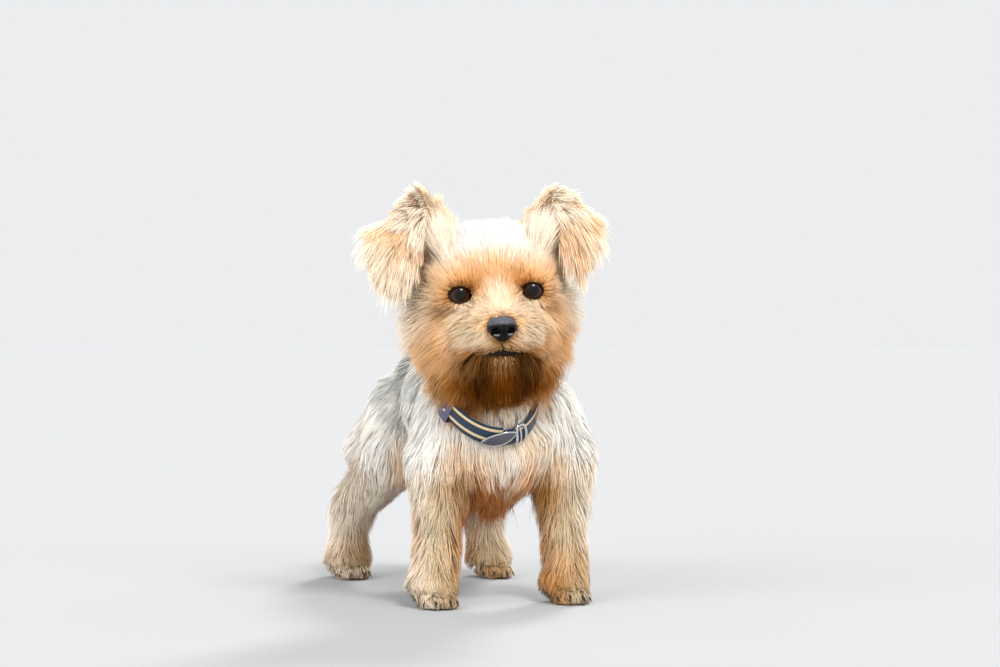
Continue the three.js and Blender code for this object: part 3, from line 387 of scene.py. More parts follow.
def to_level(points, share, rounds=2):
    """Points moved to the face that is a share of the way from the skin to the outer coat"""
    for _ in range(rounds):
        level = mix(sample(grid_skin, points), sample(grid_coat, points), share)
        points = points - np.clip(level, -9, 9)[:, None] * unit(sample(grid_slope, points))
    return points


skin_points, skin_quads = surface_net(grid_skin, LOW, STEP)
skin_slope = slope_of(grid_skin)
for _ in range(3):
    level = sample(grid_skin, skin_points)[:, None]
    skin_points = skin_points - np.clip(level, -2, 2) * unit(sample(skin_slope, skin_points))
    skin_points = mix(skin_points, smoothed(skin_points, skin_quads, 1), 0.5)
skin_points[:, 2] = np.maximum(skin_points[:, 2], SOLE)

# Each ear is one sheet from its base up to the fold, over it and down to the tip of the flap.
# A ring is its middle, its half width and how far it cups toward the ear's back.
EAR_RINGS = {
    "right": [
        ((-33, 12, 30), (-10, 4, -15), 7),
        ((-42, 11, 42), (-14, 3, -17), 8),
        ((-53, 9, 55), (-16, 1, -16), 5),
        ((-62, 3, 64), (-20, 0, -13), 1),
        ((-64.5, -6, 54), (-18, 1, -9), 1),
        ((-66, -9, 39), (-14.5, 2, -6.5), 2),
        ((-66, -10, 27), (-9.5, 2, -5), 2),
        ((-65, -11, 18), (-4, 0, -2.4), 0),
    ],
    "left": [
        ((33, 12, 30), (10, 4, -15), 7),
        ((41, 11, 42), (13, 3, -15), 8),
        ((51, 9, 55), (13.5, 1, -13.5), 5),
        ((60, 3, 64.5), (15, 0, -11), 1),
        ((60.5, -6, 55), (12.5, 0, -8), 1),
        ((60, -10, 43), (10, 1, -5.6), 2),
        ((59, -12, 33), (6.5, 1, -3.4), 2),
        ((58, -13, 24), (2.6, 0, -1), 0),
    ],
}
EAR_THICK = 2.2


def circle(count):
    return np.linspace(0, 2 * math.pi, count, endpoint=False)


def quads_between(rows, sides, closed=False, around=True, turned=False):
    """Quads between rows of vertices. closed joins the last row to the first, and turned flips the faces."""
    i, j = np.meshgrid(np.arange(rows - (not closed)), np.arange(sides - (not around)), indexing="ij")
    corners = ((0, 0), (1, 0), (1, 1), (0, 1)) if turned else ((0, 0), (0, 1), (1, 1), (1, 0))
    return np.stack([((i + a) % rows * sides + (j + b) % sides).ravel() for a, b in corners], 1)


def spline(knots, u):
    """Points of a smooth curve through the knots, with u from 0 to 1"""
    knots = np.asarray(knots, float)
    padded = np.concatenate([[2 * knots[0] - knots[1]], knots, [2 * knots[-1] - knots[-2]]])
    place = np.clip(np.asarray(u, float) * (len(knots) - 1), 0, len(knots) - 1.0001)
    i = place.astype(int)
    t = (place - i).reshape(-1, *[1] * (knots.ndim - 1))
    p0, p1, p2, p3 = (padded[i + k] for k in range(4))
    bend, twist = 2 * p0 - 5 * p1 + 4 * p2 - p3, 3 * p1 - p0 - 3 * p2 + p3
    return 0.5 * (2 * p1 + (p2 - p0) * t + bend * t**2 + twist * t**3)


def ear_frame(word, u):
    """At each u from base to tip: the middle, the ways on and across, half the width, the way out, the cup"""
    rings = EAR_RINGS[word]
    knots = [on_head(*r[0]) for r in rings]
    middle = spline(knots, u)
    half = spline([from_head(r[1]) for r in rings], u)
    cup = spline([r[2] for r in rings], u).reshape(-1, 1)
    way = unit(spline(knots, np.minimum(u + 0.01, 1)) - spline(knots, np.maximum(u - 0.01, 0)))
    across = unit(half - (half * way).sum(-1, keepdims=True) * way)
    back = np.cross(way, across) * (1 if word == "left" else -1)
    return middle, way, across, np.linalg.norm(half, axis=-1, keepdims=True), back, cup


def ear_sheet(word, steps=26, sides=20):
    """The leather's vertices and quads, each vertex with its place u, s and its face, +1 on the back"""
    u = np.repeat(np.linspace(0, 1, steps + 1), sides)
    a = np.tile(circle(sides), steps + 1)
    s = np.cos(a)
    middle, _, across, wide, back, cup = ear_frame(word, u)
    thick = (EAR_THICK / 2) * np.sin(a) * np.sqrt(1.1 - s * s)
    close = np.where(u > 0.999, 0.05, 1.0)
    points = middle + across * (s * close)[:, None] * wide + back * (thick * close)[:, None]
    points += back * cup * (1 - s * s)[:, None]
    quads = quads_between(steps + 1, sides)
    if word == "left":
        quads = quads[:, ::-1]
    return points, quads, columns(u, s, np.sign(np.sin(a) + 1e-6))


ear_places = {}
parts_of_points = [nearest["part"][tuple(np.rint((skin_points - LOW) / STEP).astype(int).T)]]
all_points, all_quads = [skin_points], [skin_quads]
for word in ("left", "right"):
    points, quads, places = ear_sheet(word)
    offset = sum(len(p) for p in all_points)
    ear_places[f"ear_{word}"] = (offset, places)
    all_points.append(points)
    all_quads.append(quads + offset)
    parts_of_points.append(np.full(len(points), PARTS.index(f"ear_{word}"), np.int8))
skin_points = np.concatenate(all_points)
skin_quads = np.concatenate(all_quads)
skin_parts = np.concatenate(parts_of_points)


# Colours are written as the eye sees them and turned to linear light here
def colour(hex_code):
    values = np.array([int(hex_code[i : i + 2], 16) for i in (0, 2, 4)]) / 255
    return np.where(values <= 0.04045, values / 12.92, ((values + 0.055) / 1.055) ** 2.4)


WHITE = colour("fffdf8")
CREAM = colour("fff3e2")
PALE_GOLD = colour("f8d29a")
GOLD = colour("eba958")
ORANGE = colour("c67d2a")
RUST = colour("984f12")
BEARD = colour("7d4304")
DARK = colour("2a1103")
SILVER = colour("dddfde")
STEEL = colour("a0a5a8")


def wobble(points, size, seed):
    """A smooth uneven value between -1 and 1, with bumps about this size"""
    draw = np.random.default_rng(seed)
    waves = draw.normal(size=(6, 3)) * 2.2 / size
    return np.sin(points @ waves.T + draw.uniform(0, 6.28, 6)).mean(-1) * 1.8


def bounded(colours):
    """Colours kept within what a surface can reflect, with their hue"""
    colours = np.maximum(colours, 0.001)
    return colours * np.minimum(0.93 / colours.max(-1, keepdims=True), 1)


def daub(colours, points, centre, size, paint, strength):
    """Lays paint on the colours near a centre, out to an ellipsoid of that size."""
    far = np.linalg.norm((points - centre) / size, axis=-1)
    return laid(colours, paint, strength * (1 - smoothstep(far, 0.45, 1.25)))


# Markings of the head, in its own frame and on both sides of it: centre, size, paint and strength.
# They are places of the coat's outer face, and later ones lie over earlier ones.
HEAD_MARKS = [
    ((74, 0, 2), (33, 60, 44), mix(CREAM, PALE_GOLD, 0.35), 0.95),
    ((0, -20, 70), (90, 62, 48), WHITE, 1.0),
    ((0, -30, 23), (40, 28, 16), GOLD, 0.9),
    ((19, -30, 18), (17, 20, 8), ORANGE, 0.75),
    ((0, -38, -57), (60, 60, 24), BEARD, 1.0),
    ((43, -20, -8), (14, 24, 12), ORANGE, 0.3),
    ((50, -10, -34), (14, 30, 14), GOLD, 0.6),
    ((0, -42, 6), (11, 22, 15), mix(CREAM, PALE_GOLD, 0.4), 0.9),
    ((17, -31, 13), (6, 14, 6), RUST, 0.6),
    ((38, -24, 4), (7, 14, 7), RUST, 0.55),
    ((17, -38, -3), (19, 24, 9), mix(CREAM, PALE_GOLD, 0.5), 0.8),
    ((0, -50, -3), (5, 12, 5), RUST, 0.25),
    ((27, -40, -14), (18, 22, 9), mix(PALE_GOLD, CREAM, 0.2), 0.95),
    ((23, -46, -22), (19, 22, 9), mix(PALE_GOLD, CREAM, 0.45), 0.9),
    ((20, -44, -33), (15, 22, 6), ORANGE, 0.8),
    ((0, -60, -26), (9, 12, 4), mix(RUST, PALE_GOLD, 0.5), 0.6),
    ((0, -54, -33.5), (24, 20, 5.5), DARK, 0.9),
    ((14, -50, -44), (14, 30, 9), DARK, 0.6),
    ((0, -46, -58), (24, 30, 9), DARK, 0.45),
    ((0, -34, -74), (56, 50, 11), ORANGE, 0.7),
]


def is_part(parts, *names):
    """Whether each is one of these parts, or its name starts with one of them"""
    return np.isin(parts, [i for i, part in enumerate(PARTS) if part.startswith(names)])


def opening_of(points):
    """How far points of the head's frame are from the middle of the nearer eye's opening: 1 at its edge"""
    aside = np.abs(points[:, 0]) - EYES_APART / 2
    far = np.hypot(aside / OPEN_WIDE, (points[:, 2] - EYE_UP) / OPEN_HIGH)
    return np.where(points[:, 1] < -8, far, 9.0)


def markings(points, parts):
    """The coat's colour at places of its outer face"""
    x, y, z = points.T
    aside = np.abs(x - LEAN)
    patchy = wobble(points, 26, 1)
    fine = wobble(points, 12, 2)
    colours = laid(SILVER, STEEL, 0.65 * smoothstep(patchy, -0.5, 0.9))
    flank = smoothstep(-z + 10 * patchy, -spine_z - 14, -spine_z + 14)
    front = smoothstep(-y + 8 * patchy, 18, 54)
    colours = laid(colours, WHITE, np.maximum(0.9 * flank, front))
    warm = front * smoothstep(wobble(points, 18, 4), -0.5, 0.8) * (1 - smoothstep(aside, 14, 44))
    colours = laid(colours, PALE_GOLD, 0.75 * warm)
    patch = 1 - smoothstep(aside + 3 * fine, 5, 16)
    low = smoothstep(-z + 7 * fine - 16 * patch, -126, -100) * (1 - smoothstep(aside, 38, 58))
    colours = laid(colours, mix(GOLD, PALE_GOLD, 0.6), 0.8 * low)
    between = smoothstep(-z + 6 * fine - 6 * patch, -108, -88) * (1 - smoothstep(aside, 26, 44))
    colours = laid(colours, mix(RUST, ORANGE, 0.45), 0.85 * between)
    rump = smoothstep(y, 56, 100) * smoothstep(-z, -146, -112)
    colours = laid(colours, mix(PALE_GOLD, CREAM, 0.6), 0.7 * rump)
    # Legs: tan from the knee down, darker at the foot, cream behind and outside, and brown inside. The hind
    # legs' cream is partly painted light that lifts the shade under the rump, and the brown inside is partly
    # painted shade between the legs.
    tan = laid(GOLD, mix(PALE_GOLD, CREAM, 0.25), smoothstep(fine, -0.9, 0.6))
    knee = mix(92.0, 78.0, smoothstep(y, 20, 50))
    leg = smoothstep(-z + 7 * patchy, -knee - 18, -knee + 8)
    tan = tan * (0.98, 1.0, 0.9) * mix(0.57, 0.48, smoothstep(-z, -34, -8))[:, None]
    # Hind legs paler higher up: real cream, raised further as painted light against the shade under the rump
    tan = laid(tan, CREAM, 0.85 * smoothstep(y, 20, 50) * smoothstep(z, 16, 70))
    on_leg = is_part(parts, "foreleg", "hindleg")
    colours = np.where(on_leg[:, None], laid(colours, tan, 0.9 * leg), colours)
    outer = leg * smoothstep(aside + 4 * fine, 55, 69) * on_leg
    colours = laid(colours, CREAM, mix(0.35, 0.75, smoothstep(z, 14, 50)) * outer)
    # Brown inside the legs: real colour, partly deepened as painted shade between the legs
    inside = leg * smoothstep(-aside, -46, -28)
    colours = laid(colours, mix(RUST, ORANGE, 0.3), 0.6 * inside)
    for part, end, share in (
        ("tail", WHITE, smoothstep(-z, -150, -120)),
        ("neck", CREAM, smoothstep(-y, 56, 80)),
    ):
        colours = np.where(is_part(parts, part)[:, None], laid(SILVER, end, share), colours)
    q = in_head(points)
    mirrored = q * np.where(q[:, :1] < 0, (-1, 1, 1), (1, 1, 1))
    face = np.tile(mix(GOLD, PALE_GOLD, 0.15), (len(points), 1))
    for centre, size, paint, strength in HEAD_MARKS:
        face = daub(face, mirrored, centre, size, paint, strength)
    nape = smoothstep(q[:, 1], 36, 70) * smoothstep(-q[:, 2], -40, 4)
    face = laid(face, SILVER, 0.8 * nape)
    face = laid(face, DARK, 0.85 * (1 - smoothstep(opening_of(q), 1.05, 1.5)))
    face = np.clip(face * (1 + 0.10 * wobble(points, 9, 3))[:, None], 0, 1)
    colours = np.where(is_part(parts, "head", "jaw")[:, None], face, colours)
    return np.where(is_part(parts, "ear")[:, None], PALE_GOLD, colours)


def fill(target, key, values, kind=np.float32):
    target.foreach_set(key, np.asarray(values).astype(kind).ravel())


def taken(source, key, count, kind=np.int32):
    values = np.zeros(count, kind)
    source.foreach_get(key, values)
    return values


def placed(name, data):
    """A new object in the scene"""
    made = bpy.data.objects.new(name, data)
    bpy.context.scene.collection.objects.link(made)
    return made


def piece(name, points, faces, material, slot, uv=None, tint=None, normals=None):
    """A mesh in the model's frame that rides on the one body. uv, tint and normals are for each vertex."""
    mesh = bpy.data.meshes.new(name)
    mesh.vertices.add(len(points))
    fill(mesh.vertices, "co", to_frame(points))
    mesh.loops.add(faces.size)
    fill(mesh.loops, "vertex_index", faces, np.int32)
    mesh.polygons.add(len(faces))
    fill(mesh.polygons, "loop_start", np.arange(0, faces.size, faces.shape[1]), np.int32)
    if uv is not None:
        fill(mesh.uv_layers.new(name="OFBake").data, "uv", uv[faces])
    if tint is not None:
        layer = mesh.color_attributes.new("Tint", "FLOAT_COLOR", "POINT")
        fill(layer.data, "color", np.concatenate([tint, np.ones((len(tint), 1))], 1))
    mesh.update(calc_edges=True)
    mesh.validate()
    fill(mesh.polygons, "use_smooth", np.ones(len(mesh.polygons)), bool)
    if normals is not None:
        mesh.normals_split_custom_set_from_vertices(normals.astype(np.float32))
    mesh.materials.append(material)
    made = placed(name, mesh)
    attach(made, "root")
    return made


class Look:
    """A material, with what feeds its shader"""

    def __init__(self, name, **values):
        self.material = bpy.data.materials.new(name)
        self.material.use_nodes = True
        self.tree = self.material.node_tree
        self.wear(**values)

    def feed(self, socket, value):
        """Links another node's output to a socket, or sets the socket's own value."""
        if isinstance(value, bpy.types.NodeSocket):
            self.tree.links.new(value, socket)
        else:
            socket.default_value = value

    def wear(self, **values):
        """Feeds the shader's own sockets."""
        for name, value in values.items():
            self.feed(self.tree.nodes["Principled BSDF"].inputs[name.replace("_", " ")], value)

    def add(self, kind, *values, **settings):
        """A new node, with its settings, its named sockets and its first sockets filled"""
        node = self.tree.nodes.new(f"ShaderNode{kind}")
        for key, value in settings.items():
            if key in node.bl_rna.properties:
                setattr(node, key, value)
            else:
                self.feed(node.inputs[key.replace("_", " ")], value)
        for socket, value in zip(node.inputs, values):
            self.feed(socket, value)
        return node

    def texture(self, kind, scale, **settings):
        """The first output of a texture in the object's own space"""
        where = self.add("TexCoord").outputs["Object"]
        return self.add(f"Tex{kind}", Vector=where, Scale=scale, **settings).outputs[0]

    def spread(self, value, low, high, start=0.0, end=1.0):
        """A value from start to end spread from low to high"""
        node = self.add("MapRange", Value=value, From_Min=start, From_Max=end, To_Min=low, To_Max=high)
        return node.outputs["Result"]

    def mottle(self, base, share):
        """Sets the base colour to a colour made darker or paler by a share."""
        self.wear(Base_Color=self.add("VectorMath", base, operation="SCALE", Scale=share).outputs["Vector"])

    def ramp(self, value, dark, pale):
        """Sets the base colour by a value, from dark to pale."""
        node = self.add("ValToRGB", Fac=value)
        for stop, paint in zip(node.color_ramp.elements, (dark, pale)):
            stop.color = (*paint, 1)
        self.wear(Base_Color=node.outputs["Color"])

    def bump(self, height, strength, distance, invert=False):
        node = self.add("Bump", Height=height, Strength=strength, Distance=distance, invert=invert)
        self.wear(Normal=node.outputs["Normal"])

    def tint(self):
        return self.add("VertexColor", layer_name="Tint").outputs["Color"]


def tinted_material(name, fleck_size, low, high, bump=0, **values):
    """A piece's own tint, with finer uneven colour between low and high and, for skin, a fine bump"""
    look = Look(name, **values)
    noise = look.texture("Noise", fleck_size, Detail=3.0)
    look.mottle(look.tint(), look.spread(noise, low, high, 0.3, 0.7))
    if bump:
        look.bump(look.texture("Noise", 900.0, Detail=2.0), bump, 0.0006)
    return look.material


WARM = (1.0, 0.82, 0.6, 1)
skin_gloss = {"Roughness": 0.85, "Specular_IOR_Level": 0.15, "Specular_Tint": WARM}
coat_gloss = {"Roughness": 0.6, "Specular_IOR_Level": 0.06, "Specular_Tint": WARM}
skin_material = tinted_material("skin", 220.0, 0.76, 1.0, bump=0.6, **skin_gloss)
coat_material = tinted_material("coat", 90.0, 0.84, 1.0, **coat_gloss)

# Skin is darker than the coat over it, and on the ears only a little: there its paleness is painted light,
# lifting the shade seen between the strands
SKIN_SHADE, EAR_SKIN_PAINTED_LIGHT = 0.62, 0.9
skin_shade = np.where(is_part(skin_parts, "ear"), EAR_SKIN_PAINTED_LIGHT, SKIN_SHADE)
skin_tint = markings(to_level(skin_points, 0.8), skin_parts) * skin_shade[:, None]
no_uv = np.zeros((len(skin_points), 2))
skin = piece("skin", skin_points, skin_quads, skin_material, "coat_tan", no_uv, skin_tint)
flesh_nodes = [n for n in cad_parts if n.startswith(("fore", "hind", "upper", "thigh", "shank", "ear"))]
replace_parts(skin, "head", "lower_jaw", "neck", "chest", "trunk", "rump", "tail", *flesh_nodes)


def unwrap(made):
    """Opens the skin out flat on its own shape, without overlaps."""
    bpy.context.view_layer.objects.active = made
    made.select_set(True)
    bpy.ops.object.mode_set(mode="EDIT")
    bpy.ops.mesh.select_all(action="SELECT")
    bpy.ops.uv.smart_project(angle_limit=math.radians(62), island_margin=0.002)
    bpy.ops.object.mode_set(mode="OBJECT")
    made.select_set(False)
    layer = made.data.uv_layers["OFBake"]
    return taken(layer.data, "uv", 2 * len(layer.data), np.float32).reshape(-1, 2)


skin_uv = unwrap(skin)
loops = taken(skin.data.loops, "vertex_index", len(skin.data.loops))
faces = skin.data.polygons
starts, totals = (taken(faces, key, len(faces)) for key in ("loop_start", "loop_total"))
starts = starts[totals == 4]
# Two triangles of each quad, as places in the list of loops
triangles = np.concatenate([np.stack([starts, starts + n, starts + n + 1], 1) for n in (1, 2)])
corners = skin_points[loops[triangles]]
flat_normal = np.cross(corners[:, 1] - corners[:, 0], corners[:, 2] - corners[:, 0])
triangle_area = np.linalg.norm(flat_normal, axis=1) / 2
triangle_part = skin_parts[loops[triangles[:, 0]]]


def scatter(part, count, keep):
    """Roots over a part's skin: place, way out, part, UV, and their shares of their triangles' loops"""
    wanted = triangle_part == PARTS.index(part)
    weight = triangle_area * wanted
    weight[wanted] *= keep(corners.mean(1)[wanted])
    chosen = rng.choice(len(weight), count, p=weight / weight.sum())
    a, b = rng.uniform(size=(2, count))
    flip = a + b > 1
    a[flip], b[flip] = 1 - a[flip], 1 - b[flip]
    shares = columns(1 - a - b, a, b)[..., None]
    return {
        "at": (corners[chosen] * shares).sum(1),
        "out": unit(flat_normal[chosen]),
        "part": triangle_part[chosen],
        "uv": (skin_uv[triangles[chosen]] * shares).sum(1),
        "shares": shares,
        "loops": loops[triangles[chosen]],
    }


def clumps(roots, size):
    """Each root's clump, by the nearest point of an uneven lattice, and a random value of that clump"""
    spread = np.array([[12.99, 78.23, 37.72], [39.35, 11.14, 83.16], [73.16, 52.24, 9.15]])
    cell = np.floor(roots / size)
    best = np.full(len(roots), np.inf)
    owner = np.zeros(len(roots))
    for offset in itertools.product((-1, 0, 1), repeat=3):
        there = cell + offset
        jitter = np.sin(there @ spread) * 4375.85 % 1
        far = np.linalg.norm(roots - (there + jitter) * size, axis=1)
        closer = far < best
        best[closer] = far[closer]
        owner[closer] = (there @ (1.0, 1024.0, 1048576.0))[closer]
    owner = np.unique(owner, return_inverse=True)[1]
    return owner, rng.uniform(-1, 1, owner.max() + 1)[owner]


def tousled(lie, out, of_clump, swing):
    """The lie turned a little for each strand, and aside by its clump"""
    return unit(lie + 0.12 * rng.normal(size=lie.shape) + swing * of_clump[:, None] * np.cross(lie, out))


def shaded(tint, of_clump, each, clump):
    """The tint, darker or paler for each strand and each clump"""
    shade = 1 + each * rng.normal(size=len(tint)) + clump * of_clump
    return bounded(tint * shade[:, None])


def gathered(strands, out, owner, pull):
    """Strands of a clump drawn together toward their tips, along the coat more than across its depth"""
    steps = strands.shape[1] - 1
    number = np.bincount(owner)
    for i in range(1, steps + 1):
        middle = columns(*(np.bincount(owner, strands[:, i, k]) / number for k in range(3)))[owner]
        pulled = middle - strands[:, i]
        pulled -= 0.8 * (pulled * out).sum(1, keepdims=True) * out
        strands[:, i] += pulled * pull * (i / steps) ** 1.2
    return strands


def combed(roots, lie, long, start, lift, loose, free, steps):
    """Strands that climb toward the coat's outer face as they run along their lie.
    A loose one leaves that face toward its tip and falls, and a free one stands off it from its root."""
    at = to_level(roots, start)
    line = [at]
    for i in range(1, steps + 1):
        t = i / steps
        slope = unit(sample(grid_slope, at))
        way = lie - (lie * slope).sum(1, keepdims=True) * slope * ((1 - loose * t) * (1 - free))[:, None]
        at = at + unit(way) * (long / steps)[:, None]
        settled = to_level(at, mix(start, lift, 1 - (1 - t) ** 1.7))
        at = laid(settled, at, np.maximum(loose * t, free))
        line.append(at)
    return np.stack(line, 1)


def ribbons(strands, out, wide, roll):
    """Flat tapered strands: vertices, triangles, normals near the coat's, and each vertex's place along"""
    count, k, _ = strands.shape
    along = unit(np.gradient(strands, axis=1))
    across = unit(np.cross(along, out[:, None]))
    over = np.cross(across, along)
    side = across * np.cos(roll)[:, None, None] + over * np.sin(roll)[:, None, None]
    t = np.linspace(0, 1, k)
    half = side * (wide[:, None] * (0.7 + 0.6 * t - 1.3 * t**2.2) / 2)[..., None]
    pairs = np.stack([strands - half, strands + half], 2)[:, :-1].reshape(count, -1, 3)
    points = np.concatenate([pairs, strands[:, -1:]], 1)
    own = unit(np.cross(side, along))
    facing = unit(mix(own, out[:, None], SOFTNESS))
    facing = np.concatenate([np.repeat(facing[:, :-1], 2, axis=1), facing[:, -1:]], 1)
    rows = [f for i in range(k - 2) for f in ((2 * i, 2 * i + 1, 2 * i + 3), (2 * i, 2 * i + 3, 2 * i + 2))]
    rows.append((2 * k - 4, 2 * k - 3, 2 * k - 2))
    triangles = (np.arange(count)[:, None, None] * (2 * k - 1) + np.array(rows)).reshape(-1, 3)
    return points.reshape(-1, 3), triangles, facing.reshape(-1, 3), np.append(np.repeat(t[:-1], 2), 1.0)


PATCH = 0.003  # the side of a strand's place on the unwrap
SOFTNESS = 0.7  # how far the coat is lit as a whole rather than hair by hair
PIECE_LIMIT = 190000
# Strands are painted darker toward their roots: painted shade deep in the coat
ROOT_PAINTED_SHADE = 0.84


def coat_pieces(name, slot, strands, out, wide, root, root_tint, tip_tint):
    """Coat pieces from strands, each small enough, with every strand's patch on the skin's unwrap"""
    strands[..., 2] = np.maximum(strands[..., 2], SOLE)
    roll = rng.normal(0, 0.55, len(strands))
    count = math.ceil(len(strands) * (2 * strands.shape[1] - 3) / PIECE_LIMIT)
    for n, rows in enumerate(np.array_split(np.arange(len(strands)), count)):
        points, faces, normals, along = ribbons(strands[rows], out[rows], wide[rows], roll[rows])
        side = np.append(np.tile([-0.5, 0.5], strands.shape[1] - 1), 0)
        patch = PATCH * columns(side, along - 0.5)
        uv = np.clip(root["uv"][rows][:, None] + patch, 0, 1).reshape(-1, 2)
        tint = mix(root_tint[rows][:, None], tip_tint[rows][:, None], (along**1.3)[:, None])
        # Painted shade: each strand darker toward its root
        tint = (tint * mix(ROOT_PAINTED_SHADE, 1.0, np.minimum(along * 2.5, 1))[:, None]).reshape(-1, 3)
        piece(f"coat_{name}_{n + 1}", points, faces, coat_material, slot, uv, tint, normals)


# The collar lies on a tilted oval round the neck's foot, low in front and high behind
COLLAR_AT = np.array([-8.0, -85.0, 161.0])
COLLAR_HALF = (37.0, 51.0)
STRAP_WIDE = 13.0
STRAP_THICK = 2.4
LAP_LIFT, LAP_ASIDE = STRAP_THICK + 0.3, 4.0
# Angles round the oval in degrees, -90 in front
LAP_TURNS = (-161, -90)
KEEPER_TURNS = (-156.5, -144.5)
LEAF_TURN, LEAF_LEAN = -92, 15
RING_TURN = -67
collar_side = unit(np.array([1, -0.06, 0]))
collar_rise = np.array([0, 0.644, 0.766])
collar_way = unit(np.cross(collar_side, collar_rise))


def over_collar(points):
    """How far points are beyond the collar's plane, plus on the neck's side"""
    return (points - COLLAR_AT) @ collar_way


def under_strap(strands):
    """Presses the strands that cross the collar's plane in under its strap."""
    flat = strands.reshape(-1, 3) - COLLAR_AT
    beyond = flat @ collar_way
    rho = np.hypot(flat @ collar_side / COLLAR_HALF[0], flat @ collar_rise / COLLAR_HALF[1])
    near = 1 - smoothstep(np.abs(beyond), 8, 14)
    squeeze = mix(1.0, np.minimum(0.92 / rho, 1), near)
    inward = flat - beyond[:, None] * collar_way
    flat = inward * squeeze[:, None] + beyond[:, None] * collar_way
    return (flat + COLLAR_AT).reshape(strands.shape)


def even(points):
    """Strands stand equally thick all over"""
    return np.ones(len(points))


MOUTH_HALF, MOUTH_UP, MOUTH_SAG = 17.0, -30.5, 4.5


def mouth_z(x):
    """The height of the mouth's line, which falls toward its corners"""
    return MOUTH_UP - MOUTH_SAG * (x / MOUTH_HALF) ** 2


def face_keep(points):
    """How thickly strands stand on the head: none on the eyes, the nose and the lips"""
    q = in_head(points)
    nose = np.linalg.norm((q - NOSE_MIDDLE) / (10.5, 9, 9.5), axis=1) < 1
    lips = (np.abs(q[:, 2] - mouth_z(q[:, 0]) + 1.7) < 1.2) & (np.abs(q[:, 0]) < 15) & (q[:, 1] < -30)
    hidden = (q[:, 1] > 10) & (q[:, 2] < -24)
    near_face = 1 + 1.4 * smoothstep(-q[:, 1], -6, 24) + 1.6 * by_ears(q)
    return near_face * ~((opening_of(q) < 1.07) | nose | lips) * np.where(hidden, 0.3, 1)


def head_lie(q):
    """The lie of the hair on the head, in its own frame: away from the nose, down on cheeks and nape"""
    away = unit(q - (0, -50, -8))
    x = np.abs(q[:, 0])
    cheek = smoothstep(x, 9, 34) * smoothstep(-q[:, 2], -16, 14)
    behind = smoothstep(q[:, 1], -5, 30)
    away[:, 2] -= 0.75 * cheek + 0.9 * behind
    brow = smoothstep(q[:, 2], 6, 22) * smoothstep(-q[:, 1], -10, 14)
    away[:, 0] *= 1 + 0.5 * brow
    for s in (1, -1):
        aside = q[:, [0, 2]] - (s * EYES_APART / 2, EYE_UP)
        far = np.linalg.norm(aside, axis=1)
        away[:, [0, 2]] += (2.2 * (1 - smoothstep(far, 8, 20)) * (q[:, 1] < -5))[:, None] * unit(aside)
    lip = (1 - smoothstep(np.abs(q[:, 2] + 27), 3, 9)) * smoothstep(-q[:, 1], 30, 44)
    away[:, 0] += 1.8 * np.sign(q[:, 0]) * lip
    away[:, 2] -= 0.2 * lip
    outward = rng.normal(0.42, 0.2, len(q)) * np.sign(q[:, 0])
    return unit(laid(away, columns(outward, -0.15, 1), by_ears(q)))


def by_ears(q):
    """How near places of the head are to the front of an ear's base, where the hair stands up"""
    far = np.hypot((np.abs(q[:, 0]) - 37) / 20, (q[:, 1] + 7) / 20)
    return (1 - smoothstep(far, 0.6, 1.2)) * smoothstep(q[:, 2], 12, 24)


def head_long(q):
    """The length of the hair on the head"""
    nose = np.linalg.norm(q - (0, -58, -15), axis=1)
    long = np.clip(5 + 0.40 * (nose - 10), 5, 30)
    long *= mix(0.22, 1.0, smoothstep(opening_of(q), 1.0, 3.2))
    lip = (q[:, 2] > mouth_z(q[:, 0]) - 1) & (q[:, 2] < -20) & (np.abs(q[:, 0]) < 24) & (q[:, 1] < -28)
    return np.where(lip, np.minimum(long, 4.5 + 0.4 * np.abs(q[:, 0])), long)


def clear_of_features(strands):
    """Keeps the head's strands off the open part of the eyes, and lifts those that cross the mouth."""
    flat = in_head(strands.reshape(-1, 3))
    far = np.maximum(opening_of(flat), 0.05)
    push = (np.maximum(1.02 / far, 1) - 1) * (flat[:, 1] < -14)
    centre = columns(np.sign(flat[:, 0]) * EYES_APART / 2, EYE_UP)
    flat[:, [0, 2]] += (flat[:, [0, 2]] - centre) * push[:, None]
    lip = mouth_z(flat[:, 0]) + 0.1
    over = (np.abs(flat[:, 0]) < MOUTH_HALF) & (flat[:, 1] < -26) & (flat[:, 2] > lip - 22)
    flat[:, 2] = np.where(over, np.maximum(flat[:, 2], lip), flat[:, 2])
    return out_of_head(flat).reshape(strands.shape)


SHARE = 1.0


def body_lie(root):
    """The lie of the coat on the body"""
    x, y, z = root["at"].T
    out = root["out"]
    side = np.abs(out[:, 0])
    chest = columns((LEAN - x) * 0.012, 0.25, -1)
    back = columns(0, 1 - 0.35 * side, -0.75 * side - 0.1)
    rump = columns(0, 1 - 0.4 * side, -0.4 - 0.5 * side)
    lie = laid(laid(chest, back, smoothstep(y, -62, -8)), rump, smoothstep(y, 48, 84))
    lie[is_part(root["part"], "neck")] = (0, 0.5, -1)
    tail = is_part(root["part"], "tail")
    lie[tail] = columns(-0.4 + 0.2 * out[:, 0], 0.35, -0.9)[tail]
    down = columns(0.2 * out[:, 0], 0.3 + 0.2 * out[:, 1], -1)
    foot = columns(0.35 * out[:, 0], -0.7, -0.55)
    leg = is_part(root["part"], "foreleg", "hindleg")
    lie[leg] = laid(down, foot, smoothstep(-z, -30, -16))[leg]
    return unit(lie)


def coat(name, slot, part, count, **more):
    """How one coat grows: its part, how many strands, their size and steps, and the clumps' size and pull"""
    plan = {"long": 26.0, "wide": 0.6, "steps": 4, "clump": 8.0, "pull": 0.5, "keep": even}
    return {"name": name, "slot": slot, "part": part, "count": count, **plan, **more}


